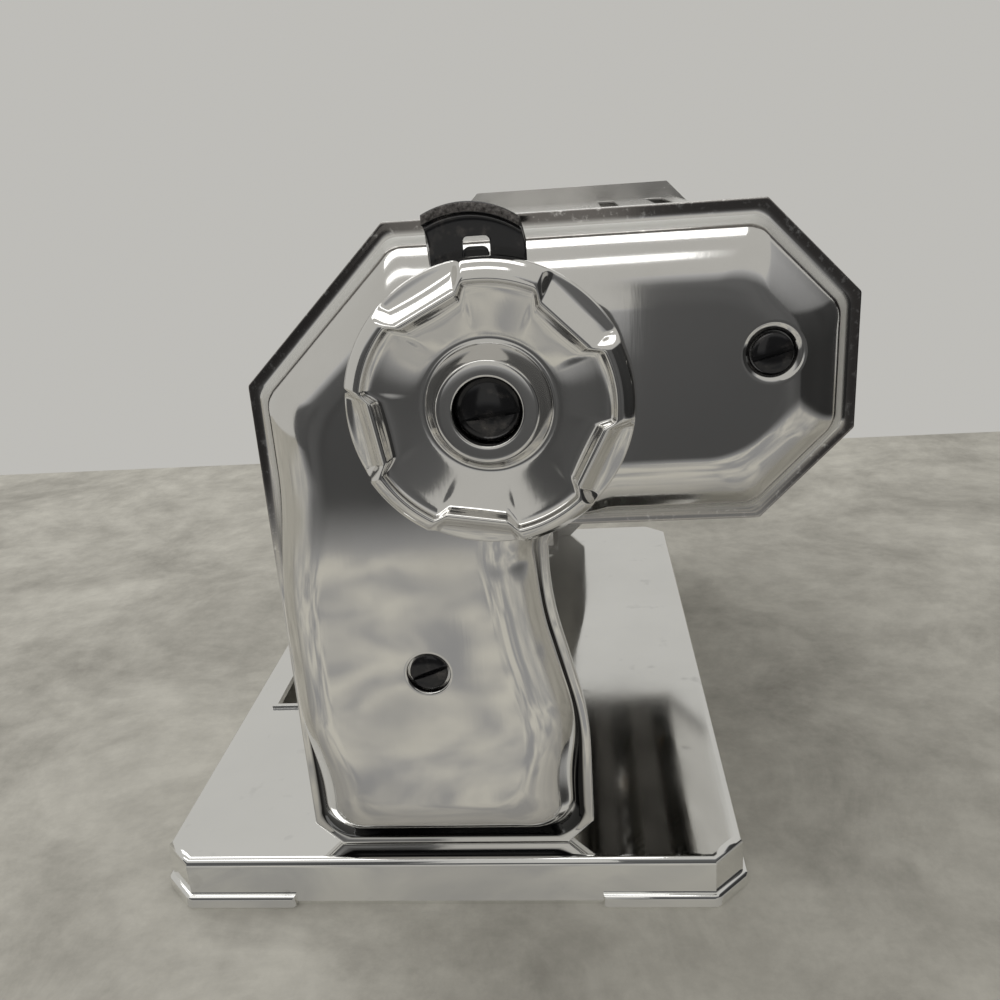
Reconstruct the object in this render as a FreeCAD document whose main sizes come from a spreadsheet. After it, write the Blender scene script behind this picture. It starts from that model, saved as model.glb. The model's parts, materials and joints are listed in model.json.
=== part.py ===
import FreeCAD, Part, Sketcher
import math
import os
from FreeCAD import Placement, Rotation, Vector

# Hand cranked pasta machine in millimetres: +Z up, Y along the rollers, dial end at -Y, crank end
# at +Y, head overhanging towards +X. The origin is the middle of the base's underside.

sizes = {
    # base tray and the slot for a table clamp
    "base_width": 139, "base_length": 212, "base_height": 12.6, "base_sheet": 1.2, "base_round": 2,
    "base_corner": 7.2, "foot_height": 3.2, "foot_flare": 1.4, "foot_run": 33,
    "slot_left": 60, "slot_width": 18, "slot_length": 73.4, "slot_rim": 1.4, "slot_rise": 0.8,
    # outline shared by both ends, seen along Y
    "column_left": 31.3, "foot_cut": 5.8, "shoulder_drop": 30, "top_left": 0.7,
    "top_height": 155, "top_right": 71.4, "head_right": 89, "head_high_drop": 18, "head_low_drop": 44.4,
    "head_bottom_drop": 62.6, "head_bottom_right": 71.2, "waist_right": 27.7, "waist_drop": 79,
    "foot_right": 35, "foot_high": 46, "waist_round": 5, "column_round": 70, "arc_share": 0.98,
    # end frames
    "frame_span": 198.4, "plate_sheet": 2, "tab_reach": 16, "tab_left": 22, "tab_right": 24,
    "tab_hole_left": 16, "tab_hole_right": 18, "tab_hole_inset": 8,
    # end covers
    "rim_margin": 1.2, "flange_width": 2.4, "cover_sheet": 0.8, "cover_depth": 12,
    "cover_round": 14, "cover_foot_round": 16, "hole_play": 0.6,
    # smooth rollers and the eccentric that sets their gap
    "dial_x": 19.4, "dial_drop": 31.8, "eccentric": 1, "gap_fine": 0.2, "feed_angle": 25,
    "roller_radius": 14, "roller_wall": 5, "end_play": 0.5, "running": 0.05, "neck_radius": 9,
    "neck_wall": 2, "neck_play": 0.5, "cam_radius": 6.5, "cam_play": 0.2, "journal_radius": 5,
    "fixed_journal": 6, "bush_wall": 2, "bush_reach": 2.5, "roller_bush_length": 16,
    "shaft_end": 4,
    # gears
    "gear_width": 4.6, "gear_stand_off": 0.7, "roller_teeth": 12, "cutter_teeth": 12,
    "roller_tooth_share": 0.34, "cutter_tooth_share": 0.41, "tooth_top": 0.86,
    "tooth_root": 1.15, "ring_sheet": 1, "ring_wall": 1.8,
    # sockets for the crank
    "socket_radius": 4, "socket_depth": 13, "socket_wall": 1.3, "socket_reach": 1.4,
    "drive_bore": 3.4, "drive_bore_depth": 5, "drive_pin_radius": 1.2, "drive_pin_depth": 15,
    "drive_pin_set": 0.2,
    # crank
    "crank_radius": 90, "crank_sheet": 5, "crank_bar": 14, "crank_stand_off": 6,
    "crank_shoulder": 6.5, "tip_play": 1, "notch_play": 0.3,
    "grip_length": 62, "grip_radius": 12, "grip_waist": 8.5, "grip_end": 10, "grip_tip": 7.5,
    "grip_play": 0.6,
    "grip_pin_radius": 3.5, "grip_head": 6, "grip_head_height": 2,
    # cutters and their combs
    "wide_x": 48, "wide_drop": 15.5, "narrow_x": 65.7, "narrow_drop": 38, "cutter_centres": 15.6,
    "cutter_overlap": 1, "groove_depth": 1.7, "wide_cut": 6.5, "narrow_cut": 2, "cut_play": 0.1,
    "cutter_journal": 3.5, "comb_in": 3.3, "comb_sheet": 0.8, "comb_play": 0.35,
    "comb_bar": 5.5,
    # tie rods, posts and screws
    "rod_radius": 4, "rod_end": 2.5, "rod_bite": 2.4, "low_rod_x": 8, "low_rod_z": 32, "head_rod_x": 79.5,
    "head_rod_drop": 25.5, "nut_radius": 4, "nut_height": 3.2,
    "lower_screw_x": 2, "lower_screw_z": 65, "upper_screw_x": 70.5, "upper_screw_drop": 26.5,
    "far_screw_x": 68.5, "far_screw_drop": 22, "post_radius": 3.6,
    "screw_head": 4.1, "screw_head_height": 2.6, "screw_shank": 2, "screw_length": 8,
    "screw_slot": 1.1, "slot_depth": 1.2, "dimple_radius": 5.7, "dimple_floor": 4.4,
    "dimple_depth": 1.8, "base_screw_head": 4, "base_screw_height": 2.2,
    # dial
    "dial_radius": 26.2, "dial_lip": 23.4, "dial_inner_lip": 20.2, "dial_depth": 10,
    "dial_stand_off": 2.5, "dial_sheet": 1.2, "dial_lobes": 5, "dial_turned": 9,
    "dial_boss": 8.8, "dial_ring_set": 0.9, "dial_bore": 6.4, "dial_dish": 4,
    "dial_web": 1.5, "web_set": 8, "stub_radius": 4, "stub_flats": 7, "dial_screw_head": 6.15,
    "dial_screw_height": 3, "dial_screw_set": 1, "spring_wire": 0.7, "spring_radius": 5.2,
    "spring_turns": 2,
    # index plate behind the dial
    "index_x": 18.6, "index_width": 17.6, "index_sheet": 1, "index_arc": 35, "index_lip": 2,
    "index_lip_reach": 2.5, "index_foot": 12, "window_width": 4.8, "window_height": 3.2,
    "window_drop": 5.6, "tongue_height": 1.6, "rivet_radius": 1.6, "rivet_head": 2.4,
    "rivet_rise": 0.6, "rivet_spread": 5.6, "rivet_up": 11,
    # guards, hopper and scrapers
    "guard_sheet": 1, "guard_inset": 2, "top_guard_left": 2, "top_guard_drop": 5.8,
    "feed_slot": 6, "exit_slot": 9, "slot_end_gap": 6,
    "fixed_scraper_lean": -118, "movable_scraper_lean": -62,
    "rod_tail_spare": 0.5, "base_screw_spare": 1,
    "bottom_guard_left": 37, "back_guard_low": 59, "back_guard_high": 17,
    "hopper_sheet": 1, "hopper_throat": 4.5, "hopper_low": 12.5, "hopper_mouth": 8,
    "hopper_back_rise": 26, "hopper_front_rise": 34, "scraper_sheet": 1, "scraper_gap": 0.5,
    "scraper_reach": 15, "fixed_scraper_angle": 60, "movable_scraper_angle": 110,
}

doc = FreeCAD.newDocument("PastaMachine")
sheet = doc.addObject("Spreadsheet::Sheet", "Sizes")
for row, (alias, value) in enumerate(sizes.items(), start=1):
    sheet.set(f"A{row}", alias)
    sheet.set(f"B{row}", str(value))
    sheet.setAlias(f"B{row}", alias)
doc.recompute()
ruler = doc.addObject("Part::Vertex", "Ruler")
parts = {}


def number(expression):
    """What an expression on the sheet comes to."""
    ruler.setExpression("X", expression)
    ruler.recompute()
    return ruler.X.Value


def size(alias):
    return float(sheet.get(alias))


def under_top(drop):
    """A height that is measured down from the top of the head."""
    return f"(Sizes.top_height - Sizes.{drop})"


def place_of(axis):
    """The x and z of an axis along Y, as numbers."""
    return number(axis[0]), number(axis[1])


def bind(thing, **expressions):
    for path, expression in expressions.items():
        thing.setExpression(path.replace("_at_", "Placement.Base."), expression)
    return thing


def keep(node, thing):
    """Name a finished sub-part after its file."""
    thing.Label = node
    parts[node] = thing
    return thing


def box(name, x, y, z, dx, dy, dz):
    thing = doc.addObject("Part::Box", name)
    return bind(thing, Length=dx, Width=dy, Height=dz, _at_x=x, _at_y=y, _at_z=z)


def rod(name, radius, length, axis, y):
    """A round bar along +Y that starts at y."""
    thing = doc.addObject("Part::Cylinder", name)
    thing.Placement.Rotation = Rotation(Vector(1, 0, 0), -90)
    return bind(thing, Radius=radius, Height=length, _at_x=axis[0], _at_y=y, _at_z=axis[1])


def upright(name, radius, length, x, y, z):
    thing = doc.addObject("Part::Cylinder", name)
    return bind(thing, Radius=radius, Height=length, _at_x=x, _at_y=y, _at_z=z)


def hexagon(name, radius, length, x, y, z, lies_along_y):
    thing = doc.addObject("Part::Prism", name)
    thing.Polygon = 6
    if lies_along_y:
        thing.Placement.Rotation = Rotation(Vector(1, 0, 0), -90)
    return bind(thing, Circumradius=radius, Height=length, _at_x=x, _at_y=y, _at_z=z)


def fuse(name, shapes):
    thing = doc.addObject("Part::MultiFuse", name)
    thing.Shapes = shapes
    thing.Refine = True
    return thing


def cut(name, base, tools):
    thing = doc.addObject("Part::Cut", name)
    thing.Base = base
    thing.Tool = tools[0] if len(tools) == 1 else fuse(name + "Tools", tools)
    return thing


def common(name, shapes):
    thing = doc.addObject("Part::MultiCommon", name)
    thing.Shapes = shapes
    return thing


def group(name, shapes):
    thing = doc.addObject("Part::Compound", name)
    thing.Links = shapes
    return thing


def feature(name, shape):
    thing = doc.addObject("Part::Feature", name)
    thing.Shape = shape
    return thing


def stepped(name, steps, axis, y):
    """A turned piece along +Y from y: each step is a radius and a length."""
    bars, start = [], y
    for index, (radius, length) in enumerate(steps):
        bars.append(rod(f"{name}Step{index}", radius, length, axis, start))
        start = f"{start} + {length}"
    return fuse(name, bars)


def tube(name, radius, bore, length, axis, y):
    outside = rod(name + "Outside", radius, length, axis, y)
    inside = rod(name + "Inside", bore, length, axis, y)
    return cut(name, outside, [inside])


def padded(name, role, points, thickness):
    """A body padded from a closed outline on one of its origin planes, every corner bound to the sheet."""
    body = doc.addObject("PartDesign::Body", name)
    sketch = body.newObject("Sketcher::SketchObject", name + "Sketch")
    plane = next(f for f in body.Origin.OriginFeatures if f.Role == role)
    sketch.AttachmentSupport = [(plane, "")]
    sketch.MapMode = "FlatFace"
    corners = [Vector(number(u), number(v), 0) for u, v in points]
    count = len(corners)
    for index, corner in enumerate(corners):
        sketch.addGeometry(Part.LineSegment(corner, corners[(index + 1) % count]), False)
    for index in range(count):
        sketch.addConstraint(Sketcher.Constraint("Coincident", index, 2, (index + 1) % count, 1))
    for index, corner in enumerate(corners):
        for kind, value, expression in (
            ("DistanceX", corner.x, points[index][0]),
            ("DistanceY", corner.y, points[index][1]),
        ):
            at = sketch.addConstraint(Sketcher.Constraint(kind, -1, 1, index, 1, value))
            sketch.setExpression(f"Constraints[{at}]", expression)
    pad = body.newObject("PartDesign::Pad", name + "Pad")
    pad.Profile = sketch
    pad.setExpression("Length", thickness)
    pad.Reversed = role == "XZ_Plane"
    doc.recompute()
    return body


def rounded(body, name, radius, chosen):
    """Fillet the edges of a body's tip that the test picks."""
    tip = body.Tip
    edges = [f"Edge{i}" for i, edge in enumerate(tip.Shape.Edges, start=1) if chosen(edge)]
    fillet = body.newObject("PartDesign::Fillet", name)
    fillet.Base = (tip, edges)
    fillet.setExpression("Radius", radius)
    doc.recompute()
    return body


def runs_at(u, v, across):
    """Pick the straight edge that crosses a plane square on at one corner of an outline."""
    def test(edge):
        ends = [vertex.Point for vertex in edge.Vertexes]
        gaps = [math.hypot(*(a - b for a, b in zip(across(point), (u, v)))) for point in ends]
        return len(gaps) == 2 and max(gaps) < 1e-4
    return test


def inset(points, distance):
    """A closed outline moved inwards, corner by corner; the points run anticlockwise."""
    moved = []
    for index, here in enumerate(points):
        before, after = points[index - 1], points[(index + 1) % len(points)]
        arriving = ((here[0] - before[0]), (here[1] - before[1]))
        leaving = ((after[0] - here[0]), (after[1] - here[1]))
        normals = []
        for u, v in (arriving, leaving):
            length = math.hypot(u, v)
            normals.append((-v / length, u / length))
        (a, b), (c, d) = normals
        scale = distance / (1 + a * c + b * d)
        moved.append((here[0] + (a + c) * scale, here[1] + (b + d) * scale))
    return moved


def reaches(corners, rounds):
    """How far each corner's arc runs along its two sides, which it shares with its neighbours' arcs."""
    wanted, halves = [], []
    for index, corner in enumerate(corners):
        back = (corners[index - 1] - corner).normalize()
        ahead = (corners[(index + 1) % len(corners)] - corner).normalize()
        halves.append(math.acos(max(-1, min(1, back.dot(ahead)))) / 2)
        wanted.append(rounds.get(index, 0) / math.tan(halves[-1]))
    allowed = []
    for index, corner in enumerate(corners):
        share = 1
        for other in (index - 1, (index + 1) % len(corners)):
            room = size("arc_share") * corners[other].distanceToPoint(corner)
            if wanted[index] + wanted[other] > room:
                share = min(share, room / (wanted[index] + wanted[other]))
        allowed.append(wanted[index] * share)
    return allowed, halves


def wire_at(points, rounds, y):
    """A closed wire in the plane at y, with arcs at the corners that have a radius."""
    edges, ends = [], []
    corners = [Vector(x, y, z) for x, z in points]
    allowed, halves = reaches(corners, rounds)
    for index, (corner, reach, half) in enumerate(zip(corners, allowed, halves)):
        if not reach:
            ends.append((corner, corner))
            continue
        back = (corners[index - 1] - corner).normalize()
        ahead = (corners[(index + 1) % len(corners)] - corner).normalize()
        radius = reach * math.tan(half)
        centre = corner + (back + ahead).normalize() * (radius / math.sin(half))
        start, end = corner + back * reach, corner + ahead * reach
        middle = centre + (corner - centre).normalize() * radius
        edges.append(Part.Arc(start, middle, end).toShape())
        ends.append((start, end))
    for index, (_, leave) in enumerate(ends):
        arrive = ends[(index + 1) % len(ends)][0]
        if leave.distanceToPoint(arrive) > 1e-6:
            edges.append(Part.makeLine(leave, arrive))
    return Part.Wire(Part.__sortEdges__(edges))


def prism(points, rounds, y, length):
    return Part.Face(wire_at(points, rounds, y)).extrude(Vector(0, length, 0))


def turned(points, axis):
    """A solid turned about an axis along Y from a closed outline of radius and y."""
    x, z = axis
    corners = [Vector(x + radius, y, z) for radius, y in points]
    face = Part.Face(Part.makePolygon(corners + corners[:1]))
    return face.revolve(Vector(x, 0, z), Vector(0, 1, 0), 360)


# Axes that several pieces share
plate_out = "Sizes.frame_span / 2"
plate_in = "(Sizes.frame_span / 2 - Sizes.plate_sheet)"
roller_half = f"({plate_in} - Sizes.end_play)"
face_out = "(Sizes.frame_span / 2 + Sizes.cover_sheet + Sizes.cover_depth)"
mid_centres = "(2 * Sizes.roller_radius + Sizes.gap_fine + Sizes.eccentric)"
dial_axis = ("Sizes.dial_x", under_top("dial_drop"))
cam_axis = (
    "(Sizes.dial_x + Sizes.eccentric * cos(Sizes.feed_angle))",
    "(Sizes.top_height - Sizes.dial_drop + Sizes.eccentric * sin(Sizes.feed_angle))",
)
fixed_axis = (
    f"(Sizes.dial_x - {mid_centres} * cos(Sizes.feed_angle))",
    f"(Sizes.top_height - Sizes.dial_drop - {mid_centres} * sin(Sizes.feed_angle))",
)
half_centres = "Sizes.cutter_centres / 2"
cutter_axes = {
    "wide_cutter_idler": (f"(Sizes.wide_x - {half_centres})", under_top("wide_drop")),
    "wide_cutter_drive": (f"(Sizes.wide_x + {half_centres})", under_top("wide_drop")),
    "narrow_cutter_idler": (f"(Sizes.narrow_x - {half_centres})", under_top("narrow_drop")),
    "narrow_cutter_drive": (f"(Sizes.narrow_x + {half_centres})", under_top("narrow_drop")),
}
lower_screw = ("Sizes.lower_screw_x", "Sizes.lower_screw_z")
upper_screw = ("Sizes.upper_screw_x", under_top("upper_screw_drop"))
far_screw = ("Sizes.far_screw_x", under_top("far_screw_drop"))
low_rod = ("Sizes.low_rod_x", "Sizes.low_rod_z")
head_rod = ("Sizes.head_rod_x", under_top("head_rod_drop"))
gear_start = f"({plate_out} + Sizes.gear_stand_off)"
gear_end = f"({gear_start} + Sizes.gear_width)"
socket_end = f"({face_out} + Sizes.socket_reach)"
socket_floor = f"({socket_end} - Sizes.socket_depth)"
drive_floor = f"({socket_floor} - Sizes.drive_bore_depth)"
drive_radius = "(Sizes.socket_radius + Sizes.socket_wall)"
ring_end = f"({gear_end} + Sizes.ring_sheet)"

# Outline of an end, anticlockwise from the left foot as x and z
end_outline = [
    ("Sizes.foot_cut - Sizes.column_left", "Sizes.base_height"),
    ("Sizes.foot_right - Sizes.foot_cut", "Sizes.base_height"),
    ("Sizes.foot_right", "Sizes.base_height + Sizes.foot_cut"),
    ("Sizes.foot_right", "Sizes.foot_high"),
    ("Sizes.waist_right", under_top("waist_drop")),
    ("Sizes.waist_right", under_top("head_bottom_drop")),
    ("Sizes.head_bottom_right", under_top("head_bottom_drop")),
    ("Sizes.head_right", under_top("head_low_drop")),
    ("Sizes.head_right", under_top("head_high_drop")),
    ("Sizes.top_right", "Sizes.top_height"),
    ("-Sizes.top_left", "Sizes.top_height"),
    ("-Sizes.column_left", under_top("shoulder_drop")),
    ("-Sizes.column_left", "Sizes.base_height + Sizes.foot_cut"),
]
end_corners = [place_of(point) for point in end_outline]
# The round of the column's two shallow bends, which share the side between them
bend_shift = "(Sizes.foot_right - Sizes.waist_right)"
bend_rise = f"({under_top('waist_drop')} - Sizes.foot_high)"
bend_room = f"(Sizes.arc_share * hypot({bend_shift}; {bend_rise}) / 2)"
column_bend = f"min(Sizes.column_round; {bend_room} / tan(atan({bend_shift} / {bend_rise}) / 2))"

# The base: a pressed tray with flared feet at its corners and a rimmed slot for the clamp
half_x, half_y = "Sizes.base_width / 2", "Sizes.base_length / 2"
corner_growth = 0.5858  # a 45 degree cut corner grows by 2 less the root of 2


def tray_outline(grow):
    """The base seen from above with cut corners, grown outwards on every side."""
    x, y = f"({half_x} + {grow})", f"({half_y} + {grow})"
    nick = f"(Sizes.base_corner + {corner_growth} * ({grow}))"
    return [
        (f"{x} - {nick}", f"-{y}"), (x, f"{nick} - {y}"),
        (x, f"{y} - {nick}"), (f"{x} - {nick}", y),
        (f"{nick} - {x}", y), (f"-{x}", f"{y} - {nick}"),
        (f"-{x}", f"{nick} - {y}"), (f"{nick} - {x}", f"-{y}"),
    ]


def seen_above(point):
    return point.x, point.y


tray = padded("Tray", "XY_Plane", tray_outline("0"), "Sizes.base_height")
rounded(
    tray, "TrayRound", "Sizes.base_round",
    lambda edge: all(abs(vertex.Z - size("base_height")) < 1e-4 for vertex in edge.Vertexes),
)
lips = padded("FootLips", "XY_Plane", tray_outline("Sizes.foot_flare"), "Sizes.foot_height")
foot_blocks = []
for x_sign in ("-", ""):
    for y_sign in ("-", ""):
        name = f"FootBlock{len(foot_blocks)}"
        reach = "(Sizes.foot_run + Sizes.foot_flare)"
        x = f"-{half_x} - Sizes.foot_flare" if x_sign else f"{half_x} - Sizes.foot_run"
        y = f"-{half_y} - Sizes.foot_flare" if y_sign else f"{half_y} - Sizes.foot_run"
        foot_blocks.append(box(name, x, y, "0", reach, reach, "Sizes.foot_height"))
feet = common("Feet", [lips, group("FootBlocks", foot_blocks)])
slot_rim = box(
    "SlotRim", "-Sizes.slot_left - Sizes.slot_rim", "-Sizes.slot_length / 2 - Sizes.slot_rim",
    "Sizes.base_height - Sizes.base_sheet", "Sizes.slot_width + 2 * Sizes.slot_rim",
    "Sizes.slot_length + 2 * Sizes.slot_rim", "Sizes.base_sheet + Sizes.slot_rise",
)
tray_inside = "Sizes.base_height - Sizes.base_sheet"
hollow = padded("TrayHollow", "XY_Plane", tray_outline("-Sizes.base_sheet"), tray_inside)
slot_hole = box(
    "SlotHole", "-Sizes.slot_left", "-Sizes.slot_length / 2", "0",
    "Sizes.slot_width", "Sizes.slot_length", "Sizes.base_height + 2 * Sizes.slot_rise",
)
tab_screws = [
    (x, f"{sign}({plate_in} - Sizes.tab_hole_inset)")
    for x in ("-Sizes.tab_hole_left", "Sizes.tab_hole_right")
    for sign in ("-", "")
]
screw_holes = [
    upright(f"BaseHole{i}", "Sizes.screw_shank", "Sizes.base_height + Sizes.base_screw_spare", x, y, "0")
    for i, (x, y) in enumerate(tab_screws)
]
base_solid = fuse("BaseSolid", [tray, feet, slot_rim])
keep("base_plate", cut("BasePlate", base_solid, [hollow, slot_hole] + screw_holes))

keep("base_screws", group("BaseScrews", [
    fuse(f"BaseScrew{i}", [
        upright(f"BaseScrewHead{i}", "Sizes.base_screw_head", "Sizes.base_screw_height", x, y,
                "Sizes.base_height - Sizes.base_sheet - Sizes.base_screw_height"),
        upright(f"BaseScrewShank{i}", "Sizes.screw_shank",
                "Sizes.base_sheet + Sizes.plate_sheet + Sizes.nut_height + Sizes.base_screw_spare", x, y,
                "Sizes.base_height - Sizes.base_sheet"),
    ])
    for i, (x, y) in enumerate(tab_screws)
]))
keep("base_nuts", group("BaseNuts", [
    cut(f"BaseNut{i}", hexagon(f"BaseNutHex{i}", "Sizes.nut_radius", "Sizes.nut_height", x, y,
                               "Sizes.base_height + Sizes.plate_sheet", False),
        [upright(f"BaseNutBore{i}", "Sizes.screw_shank", "Sizes.nut_height", x, y,
                 "Sizes.base_height + Sizes.plate_sheet")])
    for i, (x, y) in enumerate(tab_screws)
]))

# The two end frames: flat plates with a foot turned inwards and a hole for every shaft


def end_plate(name, at_dial_end, holes):
    body = padded(name + "Sheet", "XZ_Plane", end_outline, "Sizes.plate_sheet")
    seen = lambda point: (point.x, point.z)
    for index, radius in ((3, column_bend), (4, column_bend), (5, "Sizes.waist_round")):
        rounded(body, f"{name}Round{index}", radius, runs_at(*end_corners[index], seen))
    bind(body, _at_y=f"-{plate_out}" if at_dial_end else plate_in)
    tab_y = f"-{plate_out}" if at_dial_end else f"{plate_in} - Sizes.tab_reach"
    tab = box(name + "Tab", "-Sizes.tab_left", tab_y, "Sizes.base_height", "Sizes.tab_left + Sizes.tab_right",
              "Sizes.tab_reach + Sizes.plate_sheet", "Sizes.plate_sheet")
    start = f"-{plate_out}" if at_dial_end else plate_in
    tools = [
        rod(f"{name}Hole{i}", radius, "Sizes.plate_sheet", axis, start)
        for i, (axis, radius) in enumerate(holes)
    ]
    sign = "-" if at_dial_end else ""
    for i, x in enumerate(("-Sizes.tab_hole_left", "Sizes.tab_hole_right")):
        tools.append(upright(f"{name}TabHole{i}", "Sizes.screw_shank", "Sizes.plate_sheet", x,
                             f"{sign}({plate_in} - Sizes.tab_hole_inset)", "Sizes.base_height"))
    return cut(name, fuse(name + "Blank", [body, tab]), tools)


def bush_outside(journal):
    return f"({journal} + Sizes.running + Sizes.bush_wall)"


def is_drive(node):
    return node.endswith("drive")


dial_holes = [(dial_axis, bush_outside("Sizes.journal_radius"))]
dial_holes += [(fixed_axis, bush_outside("Sizes.fixed_journal"))]
dial_holes += [(axis, bush_outside("Sizes.cutter_journal")) for axis in cutter_axes.values()]
dial_holes += [(axis, "Sizes.rod_end") for axis in (low_rod, head_rod, lower_screw, upper_screw)]
crank_holes = [(dial_axis, "Sizes.neck_radius + Sizes.eccentric + Sizes.neck_play")]
crank_holes += [(fixed_axis, bush_outside("Sizes.fixed_journal"))]
for node, axis in cutter_axes.items():
    crank_holes.append((axis, bush_outside(drive_radius if is_drive(node) else "Sizes.cutter_journal")))
crank_holes += [(axis, "Sizes.rod_end") for axis in (low_rod, head_rod, lower_screw, far_screw)]
keep("dial_end_frame", end_plate("DialEndFrame", True, dial_holes))
keep("crank_end_frame", end_plate("CrankEndFrame", False, crank_holes))

# The bushes that the shafts turn in
cutter_journals = [
    (axis, drive_radius if is_drive(node) else "Sizes.cutter_journal") for node, axis in cutter_axes.items()
]
keep("frame_bushes", group("FrameBushes", [
    tube(f"DialBush{i}", bush_outside(journal), f"{journal} + Sizes.running",
         "Sizes.plate_sheet + Sizes.bush_reach", axis, f"-{plate_out} - Sizes.bush_reach")
    for i, (axis, journal) in enumerate(
        [(dial_axis, "Sizes.journal_radius"), (fixed_axis, "Sizes.fixed_journal")]
        + [(axis, "Sizes.cutter_journal") for axis in cutter_axes.values()]
    )
] + [
    tube(f"CrankBush{i}", bush_outside(journal), f"{journal} + Sizes.running",
         "Sizes.plate_sheet + Sizes.gear_stand_off - 2 * Sizes.running", axis, plate_in)
    for i, (axis, journal) in enumerate([(fixed_axis, "Sizes.fixed_journal")] + cutter_journals)
]))

# Tie rods between the end frames, with nuts outside them
inner_span = f"(2 * {plate_in})"
rod_tail = "(Sizes.plate_sheet + Sizes.nut_height + Sizes.rod_tail_spare)"
keep("tie_rods", group("TieRods", [
    stepped(f"TieRod{i}", [
        ("Sizes.rod_end", tail), ("Sizes.rod_radius", inner_span), ("Sizes.rod_end", tail),
    ], axis, f"-{plate_in} - {tail}")
    for i, (axis, tail) in enumerate([
        (low_rod, rod_tail), (head_rod, rod_tail), (lower_screw, "(Sizes.plate_sheet + Sizes.rod_bite)"),
    ])
]))
keep("tie_rod_nuts", group("TieRodNuts", [
    cut(
        f"RodNut{i}",
        hexagon(f"RodNutHex{i}", "Sizes.nut_radius", "Sizes.nut_height", axis[0], y, axis[1], True),
        [rod(f"RodNutBore{i}", "Sizes.rod_end", "Sizes.nut_height", axis, y)],
    )
    for i, (axis, y) in enumerate(
        (axis, y) for axis in (low_rod, head_rod) for y in (f"-{plate_out} - Sizes.nut_height", plate_out)
    )
]))

# Posts on the end frames that the cover screws go into
post_length = "(Sizes.cover_depth - Sizes.dimple_depth)"
posts = []
post_places = (lower_screw, "-"), (upper_screw, "-"), (lower_screw, ""), (far_screw, "")
for i, (axis, sign) in enumerate(post_places):
    start = f"-{plate_out} - {post_length}" if sign else plate_out
    post = rod(f"PostBar{i}", "Sizes.post_radius", post_length, axis, start)
    if axis is lower_screw:
        root = f"-{plate_out} - Sizes.rod_bite" if sign else plate_out
        hollow_root = rod(f"PostRoot{i}", "Sizes.rod_end", "Sizes.rod_bite", axis, root)
        tools = [hollow_root]
    else:
        rivet_y = f"-{plate_out}" if sign else plate_in
        rivet = rod(f"PostRivet{i}", "Sizes.rod_end", "Sizes.plate_sheet", axis, rivet_y)
        post = fuse(f"PostRiveted{i}", [post, rivet])
        tools = []
    bite = "(Sizes.screw_length - Sizes.cover_sheet)"
    mouth = f"-{plate_out} - {post_length}" if sign else f"{plate_out} + {post_length} - {bite}"
    tools.append(rod(f"PostBore{i}", "Sizes.screw_shank", bite, axis, mouth))
    posts.append(cut(f"Post{i}", post, tools))
keep("cover_posts", group("CoverPosts", posts))

# Slotted screws that hold the covers


def cover_screw(name, axis, at_dial_end, turned_by):
    """A slotted cheese-head screw whose head sits on the floor of the cover's dimple."""
    seat = f"({face_out} - Sizes.dimple_depth)"
    if at_dial_end:
        head_y, shank_y = f"-{seat} - Sizes.screw_head_height", f"-{seat}"
        slot_y = head_y
    else:
        head_y, shank_y = seat, f"{seat} - Sizes.screw_length"
        slot_y = f"{seat} + Sizes.screw_head_height - Sizes.slot_depth"
    head = rod(name + "Head", "Sizes.screw_head", "Sizes.screw_head_height", axis, head_y)
    shank = rod(name + "Shank", "Sizes.screw_shank", "Sizes.screw_length", axis, shank_y)
    slot = doc.addObject("Part::Box", name + "Slot")
    slot.Placement.Rotation = Rotation(Vector(0, 1, 0), -turned_by)
    lean = f"{turned_by}"
    bind(slot, Length="2 * Sizes.screw_head", Width="Sizes.slot_depth", Height="Sizes.screw_slot",
         _at_x=f"{axis[0]} - Sizes.screw_head * cos({lean}) + Sizes.screw_slot / 2 * sin({lean})",
         _at_y=slot_y,
         _at_z=f"{axis[1]} - Sizes.screw_head * sin({lean}) - Sizes.screw_slot / 2 * cos({lean})")
    return cut(name, fuse(name + "Solid", [head, shank]), [slot])


# How far each screw's slot happens to be turned, in degrees
slot_turns = {"DialLower": 20, "DialUpper": 15, "CrankLower": 35, "CrankUpper": 70}
keep("dial_cover_screws", group("DialCoverScrews", [
    cover_screw("DialLowerScrew", lower_screw, True, slot_turns["DialLower"]),
    cover_screw("DialUpperScrew", upper_screw, True, slot_turns["DialUpper"]),
]))
keep("crank_cover_screws", group("CrankCoverScrews", [
    cover_screw("CrankLowerScrew", lower_screw, False, slot_turns["CrankLower"]),
    cover_screw("CrankUpperScrew", far_screw, False, slot_turns["CrankUpper"]),
]))

# The end covers: one pressed shell at each end, domed out from a flat flange


def dome(margin, rise, edge_round):
    """The bulge of a cover above the frame: straight walls with a large round into a flat face."""
    outline = inset(end_corners, margin)
    foot, top = outline[0][1], []
    left, right = outline[12][0], outline[2][0]
    points = [(left, foot), (right, foot)] + outline[3:12]
    foot_round = size("cover_foot_round")
    rounds = {
        0: foot_round, 1: foot_round, 2: size("column_round") - margin, 3: size("column_round") + margin,
        4: size("waist_round") + margin,
    }
    start = number(plate_out)
    buried = size("cover_round")
    block = prism(points, rounds, start - buried, rise + buried)
    rim = [e for e in block.Edges if all(abs(v.Y - start - rise) < 1e-4 for v in e.Vertexes)]
    block = block.makeFillet(edge_round, rim)
    ample = 2 * size("top_height")
    keeper = Part.makeBox(2 * ample, 2 * rise, 2 * ample, Vector(-ample, start, -ample))
    return block.common(keeper)


def cup_at(axis, floor, mouth, depth, front):
    """A pocket sunk from the front towards the frame, straight or wider at its mouth."""
    x, z = place_of(axis)
    start, along = Vector(x, front - depth, z), Vector(0, 1, 0)
    if floor == mouth:
        return Part.makeCylinder(floor, depth, start, along)
    return Part.makeCone(floor, mouth, depth, start, along)


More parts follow.
